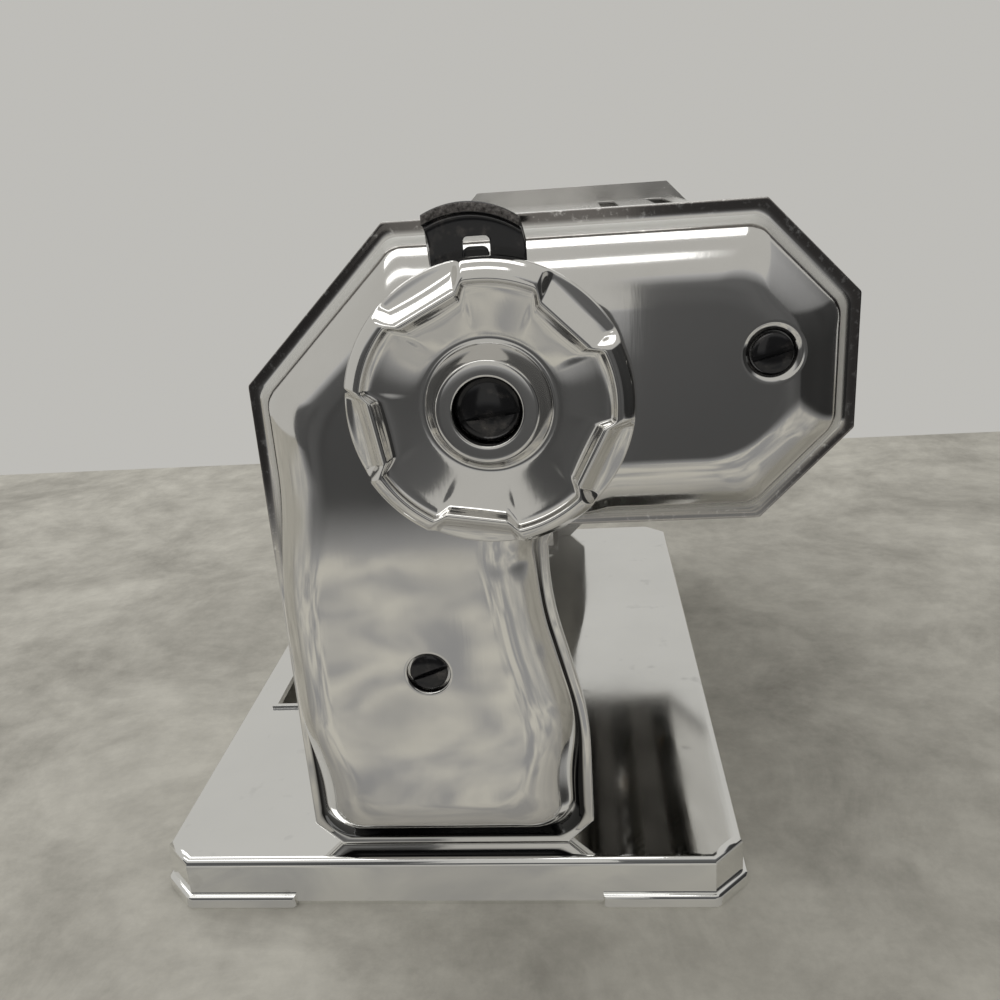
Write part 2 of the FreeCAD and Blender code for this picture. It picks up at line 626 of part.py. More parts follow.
def cover(holes, screws):
    """A cover at the crank end: flange, dome, dimples and holes."""
    wall = size("cover_sheet")
    start, margin = number(plate_out), size("rim_margin") + size("flange_width")
    rise = wall + size("cover_depth")
    column_round, waist_round = size("column_round"), size("waist_round") + size("rim_margin")
    foot_rounds = {3: column_round, 4: column_round, 5: waist_round}
    flange = prism(inset(end_corners, size("rim_margin")), foot_rounds, start, wall)
    shell = flange.fuse(dome(margin, rise, size("cover_round")))
    shell = shell.cut(dome(margin + wall, rise - wall, size("cover_round") - wall))
    face = start + rise
    for axis, mouth in screws:
        x, z = place_of(axis)
        depth, floor = size("dimple_depth"), size("dimple_floor")
        cup = cup_at(axis, floor + wall, mouth + wall, depth, face - wall)
        hollow_cup = cup_at(axis, floor, mouth, depth, face)
        shell = shell.fuse(cup).cut(hollow_cup)
        hole_start = Vector(x, face - rise / 2, z)
        shank_hole = Part.makeCylinder(size("screw_shank"), rise / 2, hole_start, Vector(0, 1, 0))
        shell = shell.cut(shank_hole)
    for axis, radius in holes:
        x, z = place_of(axis)
        shell = shell.cut(Part.makeCylinder(radius, rise / 2, Vector(x, face - rise / 2, z), Vector(0, 1, 0)))
    return shell.removeSplitter()


plain_mouth = size("dimple_floor")
rivets = [(f"{dial_axis[0]} {sign} Sizes.rivet_spread", f"{dial_axis[1]} + Sizes.rivet_up") for sign in "-+"]
dial_cover_holes = [(dial_axis, size("journal_radius") + size("hole_play"))]
dial_cover_holes += [(axis, size("rivet_radius")) for axis in rivets]
dial_cover = cover(dial_cover_holes, [(lower_screw, plain_mouth), (upper_screw, size("dimple_radius"))])
dial_cover = dial_cover.mirror(Vector(0, 0, 0), Vector(0, 1, 0))
keep("dial_end_cover", feature("DialEndCover", dial_cover))
end_bush_radius = "(Sizes.shaft_end + Sizes.running + Sizes.bush_wall)"
crank_cover_holes = [(dial_axis, number(end_bush_radius))]
crank_cover_holes += [(fixed_axis, size("fixed_journal") + size("hole_play"))]
crank_cover_holes += [
    (axis, number(drive_radius) + size("hole_play")) for node, axis in cutter_axes.items() if is_drive(node)
]
crank_cover = cover(crank_cover_holes, [(lower_screw, plain_mouth), (far_screw, size("dimple_radius"))])
keep("crank_end_cover", feature("CrankEndCover", crank_cover))
keep("shaft_end_bush", tube(
    "ShaftEndBush", end_bush_radius, "Sizes.shaft_end + Sizes.running",
    "2 * Sizes.cover_sheet + Sizes.bush_wall", dial_axis, f"{face_out} - 2 * Sizes.cover_sheet",
))

# The fixed smooth roller, with the crank's socket in its end


def cross_pin(name, axis, shaft_radius):
    """The pin across a socket that the crank's notch drives."""
    pin = doc.addObject("Part::Cylinder", name)
    return bind(
        pin, Radius="Sizes.drive_pin_radius", Height=f"2 * ({shaft_radius} - Sizes.drive_pin_set)",
        _at_x=axis[0], _at_y=f"{socket_end} - Sizes.drive_pin_depth",
        _at_z=f"{axis[1]} - {shaft_radius} + Sizes.drive_pin_set",
    )


def socket_tools(name, axis, shaft_radius):
    mouth = rod(name + "Socket", "Sizes.socket_radius", "Sizes.socket_depth", axis, socket_floor)
    bore = rod(name + "DriveBore", "Sizes.drive_bore", "Sizes.drive_bore_depth", axis, drive_floor)
    return [mouth, bore, cross_pin(name + "PinHole", axis, shaft_radius)]


dial_tail = "(Sizes.end_play + Sizes.plate_sheet + Sizes.bush_reach)"
fixed_bar = stepped("FixedRollerBar", [
    ("Sizes.fixed_journal", dial_tail), ("Sizes.roller_radius", f"(2 * {roller_half})"),
    ("Sizes.fixed_journal", f"({socket_end} - {roller_half})"),
], fixed_axis, f"-{roller_half} - {dial_tail}")
fixed_tools = socket_tools("FixedRoller", fixed_axis, "Sizes.fixed_journal")
keep("fixed_roller", cut("FixedRoller", fixed_bar, fixed_tools))
keep("fixed_roller_pin", cross_pin("FixedRollerPin", fixed_axis, "Sizes.fixed_journal"))

# The movable roller: a tube on two bushes that ride on the eccentric of the adjuster shaft
roller_bore = "(Sizes.roller_radius - Sizes.roller_wall)"
neck_bore = "(Sizes.neck_radius - Sizes.neck_wall)"
neck_end = f"({ring_end} + 2 * Sizes.running)"
bush_end = f"({roller_half} - Sizes.roller_bush_length)"
movable_bar = fuse("MovableRollerBar", [
    rod("MovableRollerTube", "Sizes.roller_radius", f"2 * {roller_half}", cam_axis, f"-{roller_half}"),
    rod("MovableRollerNeck", "Sizes.neck_radius", f"{neck_end} - {roller_half}", cam_axis, roller_half),
])
keep("movable_roller", cut("MovableRoller", movable_bar, [
    rod("MovableRollerBore", roller_bore, f"{roller_half} + {bush_end}", cam_axis, f"-{roller_half}"),
    rod("MovableNeckBore", neck_bore, f"{neck_end} + {roller_half}", cam_axis, f"-{roller_half}"),
]))
keep("movable_roller_bushes", group("MovableRollerBushes", [
    tube(f"RollerBush{i}", f"{roller_bore} - Sizes.running", "Sizes.cam_radius + Sizes.running",
         "Sizes.roller_bush_length", cam_axis, y)
    for i, y in enumerate((f"-{roller_half}", f"{bush_end} - Sizes.roller_bush_length"))
]))

# The adjuster shaft: a dial stub, a journal, the long eccentric and an end journal
dial_front = f"({face_out} + Sizes.dial_stand_off + Sizes.dial_depth)"
stub_end = f"({dial_front} - Sizes.dial_screw_set - Sizes.dial_screw_height)"
stub_start = f"({face_out} + Sizes.dial_stand_off / 2)"
cam_start = f"({plate_in} - Sizes.cam_play)"
cam_end = f"({neck_end} + Sizes.cam_play)"
stub = common("DialStub", [
    rod("DialStubRound", "Sizes.stub_radius", f"{stub_end} - {stub_start}", dial_axis, f"-{stub_end}"),
    box("DialStubFlats", f"{dial_axis[0]} - Sizes.stub_flats / 2", f"-{stub_end}",
        f"{dial_axis[1]} - Sizes.stub_radius",
        "Sizes.stub_flats", f"{stub_end} - {stub_start}", "2 * Sizes.stub_radius"),
])
adjuster_bar = fuse("AdjusterBar", [
    stub,
    rod("AdjusterJournal", "Sizes.journal_radius", f"{stub_start} - {cam_start}", dial_axis,
        f"-{stub_start}"),
    rod("AdjusterCam", "Sizes.cam_radius", f"{cam_start} + {cam_end}", cam_axis, f"-{cam_start}"),
    rod("AdjusterEnd", "Sizes.shaft_end", f"{face_out} + Sizes.bush_wall - {cam_end}", dial_axis, cam_end),
])
screw_bore = rod("DialScrewBore", "Sizes.screw_shank", "Sizes.screw_length", dial_axis, f"-{stub_end}")
keep("adjuster_shaft", cut("AdjusterShaft", adjuster_bar, [screw_bore]))

# Gears, cut as straight-sided teeth


def gear(name, axis, pitch_radius, teeth, share, bore, turned_by):
    x, z = place_of(axis)
    module = 2 * pitch_radius / teeth
    top, root = pitch_radius + size("tooth_top") * module, pitch_radius - size("tooth_root") * module
    pitch_width = share * math.pi * module
    slope = math.tan(math.radians(20))
    points = []
    for tooth in range(teeth):
        middle = math.radians(turned_by) + 2 * math.pi * tooth / teeth
        for radius, side in ((root, -1), (top, -1), (top, 1), (root, 1)):
            half_width = pitch_width / 2 - (radius - pitch_radius) * slope
            angle = middle + side * math.asin(half_width / radius)
            points.append((x + radius * math.cos(angle), z + radius * math.sin(angle)))
    start, width = number(gear_start), size("gear_width")
    blank = prism(points, {}, start, width)
    return feature(name, blank.cut(Part.makeCylinder(bore, width, Vector(x, start, z), Vector(0, 1, 0))))


roller_pitch = number("Sizes.roller_radius + Sizes.gap_fine / 2")
roller_teeth, cutter_teeth = int(size("roller_teeth")), int(size("cutter_teeth"))
facing = size("feed_angle")
keep("fixed_roller_gear", gear("FixedRollerGear", fixed_axis, roller_pitch, roller_teeth,
                               size("roller_tooth_share"), size("fixed_journal"), facing))
half_tooth = 180 / roller_teeth
keep("movable_roller_gear", gear("MovableRollerGear", cam_axis, roller_pitch, roller_teeth,
                                 size("roller_tooth_share"), size("neck_radius"), facing + 180 + half_tooth))
for node, axis in cutter_axes.items():
    bore = number(drive_radius) if is_drive(node) else size("cutter_journal")
    turn = 180 if is_drive(node) else 180 / cutter_teeth
    keep(node + "_gear", gear(
        node.title().replace("_", "") + "Gear", axis, size("cutter_centres") / 2, cutter_teeth,
        size("cutter_tooth_share"), bore, turn,
    ))


def retaining_ring(name, axis, shaft_radius):
    return tube(name, f"{shaft_radius} + Sizes.ring_wall", shaft_radius, "Sizes.ring_sheet", axis, gear_end)


keep("fixed_roller_ring", retaining_ring("FixedRollerRing", fixed_axis, "Sizes.fixed_journal"))
keep("movable_roller_ring", retaining_ring("MovableRollerRing", cam_axis, "Sizes.neck_radius"))

# Cutter rollers: rings and grooves that mesh with those of the roller beside them
ring_radius = (size("cutter_centres") + size("cutter_overlap")) / 2
groove_radius = ring_radius - size("groove_depth")


def ring_centres(width, shifted):
    """Where a cutter's rings stand along Y; its partner's stand between them."""
    count = int(2 * number(roller_half) / (2 * width) - 0.5)
    first = -(count - 1) / 2 * 2 * width
    if shifted:
        return [first + width + 2 * width * i for i in range(count - 1)]
    return [first + 2 * width * i for i in range(count)]


def cutter(name, axis, width, drive):
    """A cutter roller with its journals, and the crank's socket where it is the driven one."""
    x, z = place_of(axis)
    half, tail = number(roller_half), number(dial_tail)
    journal = size("cutter_journal")
    far_radius = number(drive_radius) if drive else journal
    far_end = number(socket_end) if drive else number(neck_end)
    ring_half = width / 2 - size("cut_play")
    points = [(0, -half - tail), (journal, -half - tail), (journal, -half), (groove_radius, -half)]
    for middle in ring_centres(width, drive):
        for radius, y in ((groove_radius, -1), (ring_radius, -1), (ring_radius, 1), (groove_radius, 1)):
            points.append((radius, middle + y * ring_half))
    points += [(groove_radius, half), (far_radius, half), (far_radius, far_end), (0, far_end)]
    shape = turned(points, (x, z))
    if drive:
        for radius, floor, depth in (
            (size("socket_radius"), number(socket_floor), size("socket_depth")),
            (size("drive_bore"), number(drive_floor), size("drive_bore_depth")),
        ):
            shape = shape.cut(Part.makeCylinder(radius, depth, Vector(x, floor, z), Vector(0, 1, 0)))
        pin_y = far_end - size("drive_pin_depth")
        reach = far_radius - size("drive_pin_set")
        pin = Part.makeCylinder(size("drive_pin_radius"), 2 * reach, Vector(x, pin_y, z - reach))
        shape = shape.cut(pin)
    return feature(name, shape)


def comb(name, axis, width, shifted, side):
    """A strip under a cutter roller with a finger in each of its grooves."""
    x, z = place_of(axis)
    sheet_half, half = size("comb_sheet") / 2, number(plate_in)
    middle = x + side * (number(half_centres) - size("comb_in"))
    reach = abs(middle - x) + sheet_half
    top = z - math.sqrt((groove_radius + size("comb_play")) ** 2 - (reach - 2 * sheet_half) ** 2)
    under = z - math.sqrt((ring_radius + size("comb_play")) ** 2 - (reach - 2 * sheet_half) ** 2)
    low = under - size("comb_bar")
    start = Vector(middle - sheet_half, -half, low)
    strip = Part.makeBox(2 * sheet_half, 2 * half, under - low, start)
    finger = width - 2 * size("comb_play")
    rings = ring_centres(width, shifted)
    grooves = [(a + b) / 2 for a, b in zip(rings, rings[1:])]
    left = middle - sheet_half
    fingers = [
        Part.makeBox(2 * sheet_half, finger, top - low, Vector(left, y - finger / 2, low)) for y in grooves
    ]
    return feature(name, strip.multiFuse(fingers).removeSplitter())


for family in ("wide", "narrow"):
    width = size(f"{family}_cut")
    for role, side in (("idler", 1), ("drive", -1)):
        node = f"{family}_cutter_{role}"
        name = node.title().replace("_", "")
        drive = role == "drive"
        keep(node, cutter(name, cutter_axes[node], width, drive))
        shaft = drive_radius if drive else "Sizes.cutter_journal"
        keep(node + "_ring", retaining_ring(name + "Ring", cutter_axes[node], shaft))
        keep(f"{family}_{role}_comb", comb(name + "Comb", cutter_axes[node], width, drive, side))
        if drive:
            keep(node + "_pin", cross_pin(name + "Pin", cutter_axes[node], drive_radius))

# The dial: a pressed cup with a scalloped lip, sliding on the flats of the stub


def dial_sector(lip, start_angle, sweep):
    """One stretch of the dial's rim, turned about the dial axis through the sweep."""
    x, z = place_of(dial_axis)
    front, wall = -number(dial_front), size("dial_sheet")
    bore, boss, back = size("dial_bore"), size("dial_boss"), size("dial_depth")
    ring_set, dish, rim = size("dial_ring_set"), size("dial_dish"), size("dial_radius")
    web, web_back = size("web_set"), size("web_set") + size("dial_web")
    # radius and depth: over the ring, down the dish, over the lip, back to the rim, and home inside the sheet
    profile = [
        (bore, ring_set), (boss, ring_set), (boss + 2 * wall, dish), (lip - 3 * wall, dish - wall),
        (lip - wall, 0), (lip, wall / 3), (rim, back), (rim - wall, back),
        (lip - wall, 1.5 * wall), (lip - 2.8 * wall, dish), (boss + 2 * wall, dish + wall),
        (boss, dish + wall), (boss, web_back), (0, web_back), (0, web), (bore, web),
    ]
    lean = math.radians(start_angle)
    corners = [
        Vector(x + radius * math.sin(lean), front + depth, z + radius * math.cos(lean))
        for radius, depth in profile
    ]
    face = Part.Face(Part.makePolygon(corners + corners[:1]))
    return face.revolve(Vector(x, 0, z), Vector(0, 1, 0), sweep)


def dial_shape():
    lobes, turned_by = int(size("dial_lobes")), size("dial_turned")
    sweep = 180 / lobes
    sectors = []
    for index in range(2 * lobes):
        lip = size("dial_lip") if index % 2 == 0 else size("dial_inner_lip")
        sectors.append(dial_sector(lip, index * sweep - turned_by, sweep))
    x, z = place_of(dial_axis)
    play, front = size("running"), -number(dial_front)
    web, depth, stub = front + size("web_set"), size("dial_web"), size("stub_radius")
    round_hole = Part.makeCylinder(stub + play, depth, Vector(x, web, z), Vector(0, 1, 0))
    flats = size("stub_flats") + 2 * play
    slab = Part.makeBox(flats, depth, 4 * stub, Vector(x - flats / 2, web, z - 2 * stub))
    return sectors[0].multiFuse(sectors[1:]).removeSplitter().cut(round_hole.common(slab))


keep("dial_knob", feature("DialKnob", dial_shape()))


def spring_shape():
    """The coil spring between the dial's web and the screw's head, with its ends cut flat."""
    x, z = place_of(dial_axis)
    wire, radius = size("spring_wire"), size("spring_radius")
    low = -number(stub_end)
    high = size("web_set") - number(dial_front)
    room = high - low - wire - 4 * size("running")
    turns = size("spring_turns")
    helix = Part.makeHelix(room / turns, room, radius)
    section = Part.Wire(Part.makeCircle(wire / 2, Vector(radius, 0, 0), Vector(0, 1, 0)))
    coil = Part.Wire(helix.Edges).makePipeShell([section], True, True)
    coil_start = Vector(x, low + wire / 2 + 2 * size("running"), z)
    coil.Placement = Placement(coil_start, Rotation(Vector(1, 0, 0), -90))
    return coil


keep("dial_spring", feature("DialSpring", spring_shape()))
dial_screw_solid = fuse("DialScrewSolid", [
    rod("DialScrewHead", "Sizes.dial_screw_head", "Sizes.dial_screw_height", dial_axis,
        f"-{stub_end} - Sizes.dial_screw_height"),
    rod("DialScrewShank", "Sizes.screw_shank", "Sizes.screw_length", dial_axis, f"-{stub_end}"),
])
dial_screw_slot = box(
    "DialScrewSlot", f"{dial_axis[0]} - Sizes.dial_screw_head", f"-{stub_end} - Sizes.dial_screw_height",
    f"{dial_axis[1]} - Sizes.screw_slot / 2",
    "2 * Sizes.dial_screw_head", "Sizes.slot_depth", "Sizes.screw_slot",
)
keep("dial_screw", cut("DialScrew", dial_screw_solid, [dial_screw_slot]))

# The index plate behind the dial: a lipped hood with a window and a tongue over the dial's rim


def index_shape():
    x, z = place_of(dial_axis)
    middle, half = size("index_x"), size("index_width") / 2
    wall, back = size("index_sheet"), -number(face_out)
    arc, lip = size("index_arc"), size("index_lip")

    def height(u, radius):
        return z + math.sqrt(radius ** 2 - (u - x) ** 2)

    def hood(radius, y, depth):
        left, right, low = middle - half, middle + half, z - size("index_foot")
        ends = [Vector(left, y, low), Vector(right, y, low), Vector(right, y, height(right, radius))]
        top, last = Vector(x, y, z + radius), Vector(left, y, height(left, radius))
        edges = [Part.makeLine(start, end) for start, end in zip([last] + ends, ends)]
        edges.append(Part.Arc(ends[2], top, last).toShape())
        return Part.Face(Part.Wire(edges)).extrude(Vector(0, -depth, 0))

    plate = hood(arc, back, wall)
    rim = hood(arc, back, size("index_lip_reach")).cut(hood(arc - lip, back, size("index_lip_reach")))
    ample = 2 * size("top_height")
    lowest = height(middle - half, arc - lip)
    low = Part.makeBox(2 * ample, 2 * ample, ample, Vector(-ample, back - ample, lowest - ample))
    shape = plate.fuse(rim.cut(low))
    # the window, and the tongue that stands a sheet's thickness in front of it
    width, tall = size("window_width"), size("window_height")
    bottom, before = size("top_height") - size("window_drop"), back - 2 * wall
    shape = shape.cut(Part.makeBox(width, 4 * wall, tall, Vector(x - width / 2, before, bottom)))
    tongue_wide, tongue_left = width - wall, x - width / 2 + wall / 2
    tongue = Part.makeBox(tongue_wide, 2 * wall, size("tongue_height"), Vector(tongue_left, before, bottom))
    root = Part.makeBox(tongue_wide, 2 * wall, wall, Vector(tongue_left, before, bottom - wall / 2))
    behind = Part.makeBox(2 * ample, wall, ample, Vector(-ample, back - wall, 0))
    shape = shape.fuse([tongue.cut(behind), root])
    holes = [(dial_axis, size("journal_radius") + size("hole_play"))]
    holes += [(axis, size("rivet_radius")) for axis in rivets]
    for axis, radius in holes:
        u, v = place_of(axis)
        shape = shape.cut(Part.makeCylinder(radius, 4 * wall, Vector(u, before, v), Vector(0, 1, 0)))
    return shape.removeSplitter()


keep("index_plate", feature("IndexPlate", index_shape()))
rivet_grip = "(Sizes.index_sheet + Sizes.cover_sheet)"
keep("index_rivets", group("IndexRivets", [
    stepped(f"IndexRivet{i}", [
        ("Sizes.rivet_head", "Sizes.rivet_rise"), ("Sizes.rivet_radius", rivet_grip),
        ("Sizes.rivet_head", "Sizes.rivet_rise"),
    ], axis, f"-{face_out} - Sizes.index_sheet - Sizes.rivet_rise")
    for i, axis in enumerate(rivets)
]))

# The crank hangs from the fixed roller: a notched tip in the socket, a flat arm and a turning grip
arm_back = f"({face_out} + Sizes.crank_stand_off)"
arm_front = f"({arm_back} + Sizes.crank_sheet)"
grip_axis = (fixed_axis[0], f"({fixed_axis[1]} - Sizes.crank_radius)")
tip_start = f"({drive_floor} + Sizes.tip_play)"
tip_step = f"({socket_floor} + Sizes.tip_play / 2)"
shoulder_start = f"({socket_end} + Sizes.tip_play / 2)"
crank_bar = stepped("CrankShaftBar", [
    ("(Sizes.drive_bore - Sizes.running)", f"({tip_step} - {tip_start})"),
    ("(Sizes.socket_radius - Sizes.running)", f"({shoulder_start} - {tip_step})"),
    ("Sizes.crank_shoulder", f"({arm_back} - {shoulder_start})"),
    ("Sizes.socket_radius", "Sizes.crank_sheet"),
    ("Sizes.crank_shoulder", "Sizes.tip_play"),
], fixed_axis, tip_start)
notch = box("CrankNotch", f"{fixed_axis[0]} - Sizes.drive_pin_radius - Sizes.notch_play", tip_start,
            f"{fixed_axis[1]} - Sizes.socket_radius", "2 * (Sizes.drive_pin_radius + Sizes.notch_play)",
            f"{tip_step} - {tip_start}", "2 * Sizes.socket_radius")
keep("crank_shaft", cut("CrankShaft", crank_bar, [notch]))
arm_blank = fuse("CrankArmBlank", [
    box("CrankArmBar", f"{fixed_axis[0]} - Sizes.crank_bar / 2", arm_back, grip_axis[1], "Sizes.crank_bar",
        "Sizes.crank_sheet", "Sizes.crank_radius"),
    rod("CrankArmHub", "Sizes.crank_bar / 2", "Sizes.crank_sheet", fixed_axis, arm_back),
    rod("CrankArmEye", "Sizes.crank_bar / 2", "Sizes.crank_sheet", grip_axis, arm_back),
])
keep("crank_arm", cut("CrankArm", arm_blank, [
    rod("CrankArmHubHole", "Sizes.socket_radius", "Sizes.crank_sheet", fixed_axis, arm_back),
    rod("CrankArmEyeHole", "Sizes.grip_pin_radius", "Sizes.crank_sheet", grip_axis, arm_back),
]))


def grip_shape():
    """A turned handle, waisted near the arm and full near its end."""
    x, z = place_of(grip_axis)
    start = number(arm_front) + size("grip_play")
    length, bore = size("grip_length"), size("grip_pin_radius") + size("running")
    waist, full, end = size("grip_waist"), size("grip_radius"), size("grip_end")
    shares = (  # of the length, with the radius there
        (0, end), (0.12, waist), (0.3, (waist + full) / 2), (0.62, full), (0.92, end), (1, size("grip_tip")),
    )
    profile = [Vector(x + radius, start + share * length, z) for share, radius in shares]
    spline = Part.BSplineCurve()
    spline.interpolate(profile)
    inner = [Vector(x + bore, start + length, z), Vector(x + bore, start, z)]
    edges = [spline.toShape(), Part.makeLine(profile[-1], inner[0]), Part.makeLine(inner[0], inner[1])]
    edges.append(Part.makeLine(inner[1], profile[0]))
    return Part.Face(Part.Wire(edges)).revolve(Vector(x, 0, z), Vector(0, 1, 0), 360)


keep("crank_grip", feature("CrankGrip", grip_shape()))
keep("grip_pin", stepped("GripPin", [
    ("Sizes.grip_pin_radius", f"({arm_front} - {arm_back} + 2 * Sizes.grip_play + Sizes.grip_length)"),
    ("Sizes.grip_head", "Sizes.grip_head_height"),
], grip_axis, arm_back))

# Sheet guards between the end frames, the hopper and the scrapers
span_start, span = -number(plate_in), 2 * number(plate_in)
guard_line = inset(end_corners, size("guard_inset"))


def bent_sheet(name, points, wall, slots=()):
    """A sheet bent along a line of points, spanning from frame to frame; its thickness is to the left."""
    outline = list(points)
    far_side = []
    for index, (x, z) in enumerate(points):
        directions = []
        if index:
            directions.append((x - points[index - 1][0], z - points[index - 1][1]))
        if index < len(points) - 1:
            directions.append((points[index + 1][0] - x, points[index + 1][1] - z))
        normals = [(-v / math.hypot(u, v), u / math.hypot(u, v)) for u, v in directions]
        a, b = normals[0]
        c, d = normals[-1]
        scale = wall / (1 + a * c + b * d)
        far_side.append((x + (a + c) * scale, z + (b + d) * scale))
    shape = prism(outline + far_side[::-1], {}, span_start, span)
    end_gap = size("slot_end_gap")
    for low_x, high_x, low_z in slots:
        start = Vector(low_x, span_start + end_gap, low_z - 3 * wall)
        opening = Part.makeBox(high_x - low_x, span - 2 * end_gap, 6 * wall, start)
        shape = shape.cut(opening)
    return feature(name, shape)


def slots_at(width, z):
    middles = [size(f"{family}_x") for family in ("wide", "narrow")]
    return [(middle - width / 2, middle + width / 2, z) for middle in middles]


guard = size("guard_sheet")
top_z = size("top_height") - size("top_guard_drop")
bottom_z = guard_line[6][1]
slope_share = (top_z - guard_line[8][1]) / (guard_line[9][1] - guard_line[8][1])
top_right = guard_line[8][0] + (guard_line[9][0] - guard_line[8][0]) * slope_share
top_line = [(top_right - guard, top_z), (size("top_guard_left"), top_z)]
keep("top_guard", bent_sheet("TopGuard", top_line, guard, slots_at(size("feed_slot"), top_z)))
keep("front_guard", bent_sheet("FrontGuard", [*guard_line[6:9], (top_right, top_z)], guard))
bottom_line = [(size("bottom_guard_left"), bottom_z), (guard_line[6][0] - guard, bottom_z)]
keep("bottom_guard", bent_sheet("BottomGuard", bottom_line, guard, slots_at(size("exit_slot"), bottom_z)))
back_x, slant = guard_line[11][0], guard_line[11][1] - guard_line[11][0]
back_high, back_low = (size("top_height") - size(f"back_guard_{end}") for end in ("high", "low"))
back_top = (back_high - slant, back_high)
keep("back_guard", bent_sheet("BackGuard", [back_top, guard_line[11], (back_x, back_low)], guard))

lean = math.radians(size("feed_angle"))
fixed_x, fixed_z = place_of(fixed_axis)
nip = size("roller_radius") + size("gap_fine") / 2 + size("eccentric") / 2


def from_nip(across, up):
    """A point measured from the gap between the smooth rollers, across it and up the feed."""
    along = nip + across
    return (
        fixed_x + along * math.cos(lean) - up * math.sin(lean),
        fixed_z + along * math.sin(lean) + up * math.cos(lean),
    )


throat, mouth, low = size("hopper_throat"), size("hopper_mouth"), size("hopper_low")
back_line = [from_nip(-throat, low), from_nip(-mouth, size("hopper_back_rise"))]
front_line = [from_nip(mouth, size("hopper_front_rise")), from_nip(throat, low)]
keep("hopper_back", bent_sheet("HopperBack", back_line, size("hopper_sheet")))
keep("hopper_front", bent_sheet("HopperFront", front_line, size("hopper_sheet")))


def scraper(name, axis, clear, angle, leans):
    """A blade whose edge stands clear of a roller at the angle and leans away from it."""
    x, z = place_of(axis)
    turn = math.radians(-angle)
    edge = (x + clear * math.cos(turn), z + clear * math.sin(turn))
    reach = size("scraper_reach")
    away = math.radians(leans)
    tail = (edge[0] + reach * math.cos(away), edge[1] + reach * math.sin(away))
    return bent_sheet(name, [edge, tail], size("scraper_sheet"))


clear_of_roller = size("roller_radius") + size("scraper_gap")
keep("fixed_scraper", scraper("FixedScraper", fixed_axis, clear_of_roller,
                              size("fixed_scraper_angle"), size("fixed_scraper_lean")))
keep("movable_scraper", scraper("MovableScraper", dial_axis, clear_of_roller + size("eccentric"),
                                size("movable_scraper_angle"), size("movable_scraper_lean")))

doc.recompute()
for thing in doc.Objects:
    if "Invalid" in thing.State or "Error" in thing.State:
        raise RuntimeError(f"{thing.Name} did not recompute: {thing.State}")
for node, thing in parts.items():
    if thing.Shape.isNull() or not thing.Shape.isValid() or not thing.Shape.Solids:
        raise RuntimeError(f"{node} has no valid solid")
os.makedirs("parts", exist_ok=True)
for node, thing in parts.items():
    thing.Shape.exportStep(f"parts/{node}.step")
print(len(parts), "nodes,", sum(len(thing.Shape.Solids) for thing in parts.values()), "solids")
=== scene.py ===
import json
import math

import bmesh
import bpy
from mathutils import Matrix, Vector


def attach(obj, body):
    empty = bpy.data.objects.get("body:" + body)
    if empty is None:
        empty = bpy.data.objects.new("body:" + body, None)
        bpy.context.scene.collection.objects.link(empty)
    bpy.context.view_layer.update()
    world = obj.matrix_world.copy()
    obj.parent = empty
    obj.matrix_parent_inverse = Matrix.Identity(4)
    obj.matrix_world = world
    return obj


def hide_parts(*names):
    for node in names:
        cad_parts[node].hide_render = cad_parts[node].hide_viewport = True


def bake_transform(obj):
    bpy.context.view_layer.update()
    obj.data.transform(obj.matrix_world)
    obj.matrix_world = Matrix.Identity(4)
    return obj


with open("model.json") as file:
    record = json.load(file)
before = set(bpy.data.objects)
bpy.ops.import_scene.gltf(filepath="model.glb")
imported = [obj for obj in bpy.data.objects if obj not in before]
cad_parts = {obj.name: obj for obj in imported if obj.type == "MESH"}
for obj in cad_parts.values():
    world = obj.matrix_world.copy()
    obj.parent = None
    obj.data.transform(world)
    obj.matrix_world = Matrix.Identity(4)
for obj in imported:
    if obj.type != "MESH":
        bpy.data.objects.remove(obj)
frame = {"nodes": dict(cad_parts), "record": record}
nodes = frame["nodes"]
bodies = frame["record"]["behaviour"]["bodies"]
bodyOf = {node: body for body, members in bodies.items() for node in members}
slotOf = {entry["node"]: entry["material_slot"] for entry in frame["record"]["subparts"]}
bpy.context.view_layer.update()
mm = 0.001
print("frame loaded:", len(nodes), "nodes")

scene = bpy.context.scene
scene.view_settings.view_transform = "Standard"

places = {  # x and z in mm of what several pieces share
    "dial": (19.4, 123.2), "crank": (-7.064, 110.86), "lowerScrew": (2, 65),
    "wideSocket": (55.8, 139.5), "narrowSocket": (73.5, 117),
    "dialUpperScrew": (70.5, 128.5), "crankUpperScrew": (68.5, 133),
}

# the photograph's camera, found from the base's edges and the two covers' outlines
cameraPlace = {
    "location": (35.64, -284.8, 162.74), "pitchDown": 19.094, "turnLeft": 5.357, "roll": 4.007,
    "focalPixels": 949.83, "imagePixels": 1000, "sensor": 36, "nearest": 5,
}


def addCamera():
    c = cameraPlace
    turn = Matrix.Rotation(math.radians(c["turnLeft"]), 4, "Z")
    tilt = Matrix.Rotation(math.radians(90 - c["pitchDown"]), 4, "X")
    roll = Matrix.Rotation(math.radians(-c["roll"]), 4, "Z")
    bpy.ops.object.camera_add(
        location=Vector(c["location"]) * mm, rotation=(turn @ tilt @ roll).to_euler()
    )
    camera = bpy.context.object
    camera.name = "photoCamera"
    camera.data.sensor_width = c["sensor"]
    camera.data.lens = c["focalPixels"] / c["imagePixels"] * c["sensor"]
    camera.data.clip_start = c["nearest"] * mm
    scene.camera = camera


addCamera()
print("camera placed")


